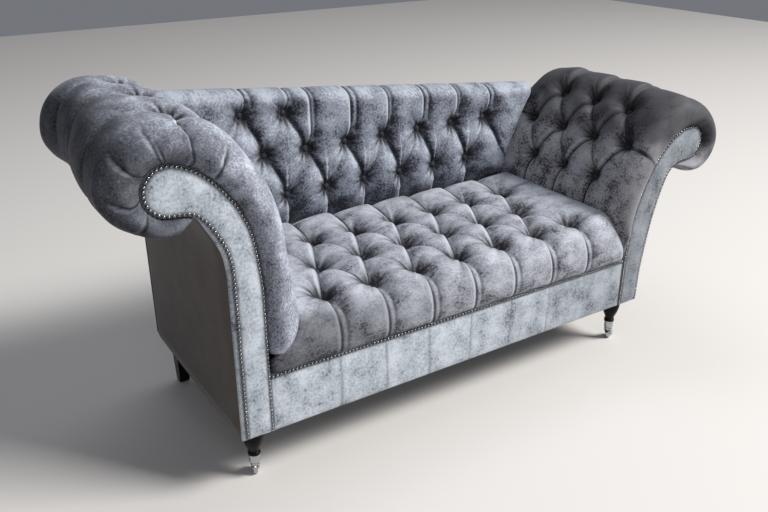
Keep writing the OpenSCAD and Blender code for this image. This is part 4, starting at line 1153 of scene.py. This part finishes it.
# Materials
class Finish:
    """A material, with short ways to add nodes to it."""

    def __init__(self, name):
        self.mat = bpy.data.materials.new(name)
        self.mat.use_nodes = True
        self.nodes = self.mat.node_tree.nodes

    def feed(self, node, inputs):
        """Gives a node its inputs: plain values, or the outputs of other nodes."""
        for key, value in inputs.items():
            if isinstance(value, bpy.types.NodeSocket):
                self.mat.node_tree.links.new(value, node.inputs[key])
            else:
                node.inputs[key].default_value = value

    def shade(self, inputs):
        self.feed(self.nodes["Principled BSDF"], inputs)

    def node(self, kind, **inputs):
        node = self.nodes.new("ShaderNode" + kind)
        self.feed(node, inputs)
        return node

    def place(self, coords="Object"):
        return self.node("TexCoord").outputs[coords]

    def noise(self, vector, scale, detail, rough, stretch=(1, 1, 1)):
        mapped = self.node("Mapping", Vector=vector, Scale=stretch).outputs["Vector"]
        return self.node("TexNoise", Vector=mapped, Scale=scale, Detail=detail,
                         Roughness=rough).outputs["Fac"]

    def math(self, operation, a, b):
        node = self.node("Math")
        node.operation = operation
        self.feed(node, {0: a, 1: b})
        return node.outputs[0]

    def ramp(self, fac, stops):
        node = self.node("ValToRGB", Fac=fac)
        ramp = node.color_ramp
        ramp.interpolation = "EASE"
        while len(ramp.elements) < len(stops):
            ramp.elements.new(0.5)
        for element, (at, colour) in zip(ramp.elements, stops):
            element.position = at
            element.color = (*colour, 1)
        return node.outputs["Color"]

    def weighted(self, *pairs):
        """Sum of node outputs, each times its weight."""
        total = None
        for value, weight in pairs:
            part = self.math("MULTIPLY", value, weight)
            total = part if total is None else self.math("ADD", total, part)
        return total

    def attribute(self, name):
        node = self.node("Attribute")
        node.attribute_name = name
        return node.outputs["Fac"]

    def bump(self, height, strength, distance):
        node = self.node("Bump", Height=height, Strength=strength, Distance=distance)
        self.shade({"Normal": node.outputs["Normal"]})


def velvet(name, dark, middle, light, streak=(0.6, 1.4, 1), coords="UV", creased=True,
           contrast=(0.40, 0.49, 0.60), patch=0.35, sheen=0.35, painted_light=0.0):
    """Crushed velvet: patches and specks where the pile lies over, and a soft bright rim. Stored painted
    shade darkens its colour towards near black and takes off its sheen; stored painted light and a painted
    highlight on fold lips lighten it.
    """
    finish = Finish(name)
    place = finish.place(coords)
    patches = finish.noise(place, 16, 4, 0.6, streak)
    specks = finish.noise(place, 150, 8, 0.75, streak)
    fine = finish.noise(place, 420, 3, 0.7)
    mixed = finish.weighted((patches, patch), (specks, 0.85 - patch), (fine, 0.15))
    shown = mixed
    # Painted light: the colour ramp shifts lighter where the surface faces the light and on fold lips
    if painted_light:
        shown = finish.weighted((mixed, 1), (finish.attribute("painted_light"), painted_light),
                                (finish.attribute("lip"), 0.10))
    colour = finish.ramp(shown, list(zip(contrast, (dark, middle, light))))
    finish.shade({"Roughness": 0.6, "Specular IOR Level": 0.15, "Sheen Weight": sheen,
                  "Sheen Roughness": 0.35, "Sheen Tint": (0.88, 0.92, 1, 1)})
    # Painted shade: the colour darkens towards near black and the sheen fades where shade is kept
    if creased:
        fold = finish.attribute("crease")
        shade = finish.node("Mix")
        shade.data_type = "RGBA"
        finish.feed(shade, {"Factor": finish.math("MULTIPLY", fold, 0.96), "A": colour,
                            "B": (dark[0] * 0.12, dark[1] * 0.12, dark[2] * 0.15, 1)})
        colour = shade.outputs["Result"]
        lit = finish.math("SUBTRACT", 1.0, fold)
        finish.shade({"Sheen Weight": finish.math("MULTIPLY", lit, sheen)})
    finish.shade({"Base Color": colour})
    finish.bump(mixed, 0.35, 0.002)
    return finish.mat


def wood(name, dark, light, rough, scale=9, gloss=0.5):
    finish = Finish(name)
    grain = finish.noise(finish.place(), scale, 6, 0.6, (1, 1, 9))
    finish.shade({"Base Color": finish.ramp(grain, [(0.35, dark), (0.65, light)]),
                  "Roughness": rough, "Specular IOR Level": gloss})
    finish.bump(grain, 0.15, 0.0006)
    return finish.mat


def metal(name, colour, low, high, scale=60):
    finish = Finish(name)
    worn = finish.noise(finish.place(), scale, 4, 0.6)
    rough = finish.math("ADD", finish.math("MULTIPLY", worn, high - low), low)
    finish.shade({"Base Color": (*colour, 1), "Metallic": 1, "Roughness": rough})
    return finish.mat


def woven(name, dark, light, scale, rough=0.85):
    finish = Finish(name)
    wave = finish.node("TexWave", Vector=finish.place(), Scale=scale, Distortion=1.5).outputs["Fac"]
    finish.shade({"Base Color": finish.ramp(wave, [(0.3, dark), (0.7, light)]), "Roughness": rough})
    finish.bump(wave, 0.3, 0.001)
    return finish.mat


def dress(piece, mat):
    piece.data.materials.clear()
    piece.data.materials.append(mat)


def dress_nodes():
    """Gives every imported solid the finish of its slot."""
    finishes = {
        "frame_wood": wood("planed_beech", (0.32, 0.2, 0.1), (0.55, 0.38, 0.22), 0.6),
        "liner_board": wood("bent_board", (0.3, 0.22, 0.14), (0.42, 0.32, 0.2), 0.75),
        "webbing": woven("jute_webbing", (0.2, 0.13, 0.06), (0.42, 0.3, 0.16), 300),
        "spring_steel": metal("spring_steel", (0.5, 0.5, 0.52), 0.3, 0.5),
        "felt": woven("needled_felt", (0.09, 0.09, 0.1), (0.2, 0.2, 0.21), 500),
        "platform_cloth": woven("hessian", (0.25, 0.18, 0.1), (0.5, 0.39, 0.24), 600),
        "dust_cloth": woven("black_lining", (0.008, 0.008, 0.009), (0.03, 0.03, 0.032), 900),
        "black_wood": wood("black_wood", (0.003, 0.0026, 0.0024), (0.008, 0.007, 0.006), 0.28, 14, 0.08),
        "glide_nylon": woven("black_glide", (0.01, 0.01, 0.01), (0.03, 0.03, 0.03), 900, 0.5),
        "chrome": metal("chrome", (0.45, 0.46, 0.48), 0.05, 0.2),
        # Painted shade: dark warm tones for outside cloth turned from the light
        "outside_velvet": velvet("flat_velvet_solid", (0.05, 0.045, 0.045), (0.1, 0.09, 0.09),
                                 (0.17, 0.16, 0.165), coords="Object", creased=False),
    }
    for part in frame["record"]["subparts"]:
        finish = finishes.get(part["material_slot"])
        if finish:
            solid = frame["nodes"][part["node"]]
            for slot in solid.material_slots:
                slot.material = finish
            if not solid.material_slots:
                solid.data.materials.append(finish)


# Camera, floor and light. The camera stands and looks as the photo's did
CAMERA_AT = (-1.1959, -1.4459, 1.2993)
CAMERA_YAW = 0.5717
CAMERA_PITCH = 0.4256
CAMERA_ROLL = -0.0023
CAMERA_F_PX = 811.9556
PHOTO_W_PX = 768
SENSOR_W = 36
FLOOR_HALF = 7


def add_camera():
    level = math.cos(CAMERA_PITCH)
    forward = np.array([math.sin(CAMERA_YAW) * level, math.cos(CAMERA_YAW) * level,
                        -math.sin(CAMERA_PITCH)])
    right = np.array([math.cos(CAMERA_YAW), -math.sin(CAMERA_YAW), 0])
    up = np.cross(right, forward)
    turned_right = right * math.cos(CAMERA_ROLL) + up * math.sin(CAMERA_ROLL)
    turned_up = up * math.cos(CAMERA_ROLL) - right * math.sin(CAMERA_ROLL)
    place = np.array(CAMERA_AT) + ZERO
    matrix = Matrix.Identity(4)
    for row in range(3):
        matrix[row] = (turned_right[row], turned_up[row], -forward[row], place[row])
    data = bpy.data.cameras.new("camera")
    data.sensor_width = SENSOR_W
    data.lens = CAMERA_F_PX / PHOTO_W_PX * SENSOR_W
    camera = bpy.data.objects.new("camera", data)
    camera.matrix_world = matrix
    bpy.context.scene.collection.objects.link(camera)
    bpy.context.scene.camera = camera


def add_light(name, place, target, size, power, colour):
    data = bpy.data.lights.new(name, "AREA")
    data.shape = "RECTANGLE"
    data.size, data.size_y = size
    data.energy = power
    data.color = colour
    light = bpy.data.objects.new(name, data)
    light.location = place
    light.rotation_euler = (Vector(target) - Vector(place)).to_track_quat("-Z", "Y").to_euler()
    bpy.context.scene.collection.objects.link(light)


def add_studio():
    mesh = bpy.data.meshes.new("floor")
    signs = ((-1, -1), (1, -1), (1, 1), (-1, 1))
    mesh.from_pydata([(x * FLOOR_HALF, y * FLOOR_HALF, 0) for x, y in signs], [], [(0, 1, 2, 3)])
    floor = bpy.data.objects.new("floor", mesh)
    bpy.context.scene.collection.objects.link(floor)
    finish = Finish("pale_floor")
    finish.shade({"Base Color": (0.62, 0.6, 0.58, 1), "Roughness": 0.8})
    mesh.materials.append(finish.mat)
    world = bpy.data.worlds.new("studio")
    bpy.context.scene.world = world
    world.use_nodes = True
    sky = world.node_tree.nodes["Background"].inputs
    sky["Color"].default_value = (0.86, 0.9, 1, 1)
    sky["Strength"].default_value = 0.2
    add_light("key", (5.2, -5.0, 7.2), (0, 0, 0.4), (3.6, 3.0), 1450, (1, 0.985, 0.96))
    add_light("top", (0.4, 1.2, 3.4), (0, 0.1, 0.5), (2.6, 1.2), 22, (0.93, 0.96, 1))
    add_light("fill", (-1.5, -4.5, 2.0), (0, 0, 0.4), (3, 2), 40, (0.94, 0.96, 1))
    bpy.context.scene.view_settings.view_transform = "Standard"


add_camera()
add_studio()
dress_nodes()

# Seat, back and scrolls are one velvet; each copy's tones are set lighter or darker to stand in for how the
# light falls on that pad, as painted light and shade
seat_velvet = velvet("seat_velvet", (0.05, 0.046, 0.058), (0.285, 0.295, 0.335), (0.45, 0.475, 0.53),
                     (0.9, 1.2, 1), contrast=(0.40, 0.475, 0.57), patch=0.4, painted_light=0.13)
back_velvet = velvet("back_velvet", (0.037, 0.038, 0.05), (0.235, 0.255, 0.31), (0.47, 0.515, 0.59),
                     (1.1, 1.0, 1), contrast=(0.40, 0.50, 0.61), patch=0.35, painted_light=0.16)
scroll_velvet = (
    velvet("left_scroll_velvet", (0.035, 0.03, 0.045), (0.215, 0.23, 0.275), (0.53, 0.565, 0.65),
           (1.1, 1.0, 1), contrast=(0.38, 0.48, 0.61), patch=0.3, painted_light=0.05),
    velvet("right_scroll_velvet", (0.04, 0.036, 0.042), (0.31, 0.305, 0.33), (0.39, 0.40, 0.45),
           (1.1, 1.0, 1), contrast=(0.40, 0.495, 0.60), patch=0.35, painted_light=0.08),
)
# Painted shade: the buttons are near black, standing in for the shade deep in their pits
button_velvet = velvet("button_velvet", (0.006, 0.006, 0.008), (0.02, 0.02, 0.026), (0.06, 0.06, 0.07),
                       creased=False, sheen=0.1)
pale_velvet = velvet("pale_velvet", (0.10, 0.115, 0.14), (0.325, 0.36, 0.40), (0.48, 0.52, 0.565),
                     (1.1, 0.9, 1), contrast=(0.40, 0.475, 0.56), patch=0.4)
# Painted shade: the outside cloth is given dark warm tones, standing in for sides turned from the light
outside_velvet = velvet("outside_velvet", (0.055, 0.045, 0.038), (0.082, 0.07, 0.06), (0.12, 0.105, 0.092),
                        (1, 1, 1), creased=False, contrast=(0.35, 0.5, 0.65), sheen=0.15)

dress(seat_cushion(), seat_velvet)
dress(back_cushion(), back_velvet)
dress(border_piece(), pale_velvet)
dress(outside_back_piece(), outside_velvet)
nails = [border_nails()]
for e in (LEFT, RIGHT):
    dress(arm_cushion(e), scroll_velvet[e])
    dress(facing_piece(e), pale_velvet)
    dress(outside_piece(e), outside_velvet)
    dress(button_piece(END_NAME[e] + "_scroll_buttons", END_NAME[e] + "_arm_buttons",
                       arm_button_places(e)), button_velvet)
    nails.append(facing_nails(e))
dress(button_piece("seat_cushion_buttons", "seat_buttons", seat_button_places()), button_velvet)
dress(button_piece("back_cushion_buttons", "back_buttons", back_button_places()), button_velvet)
nail_metal = metal("nail_silver", (0.17, 0.17, 0.18), 0.12, 0.26, 200)
for piece in nails:
    dress(piece, nail_metal)
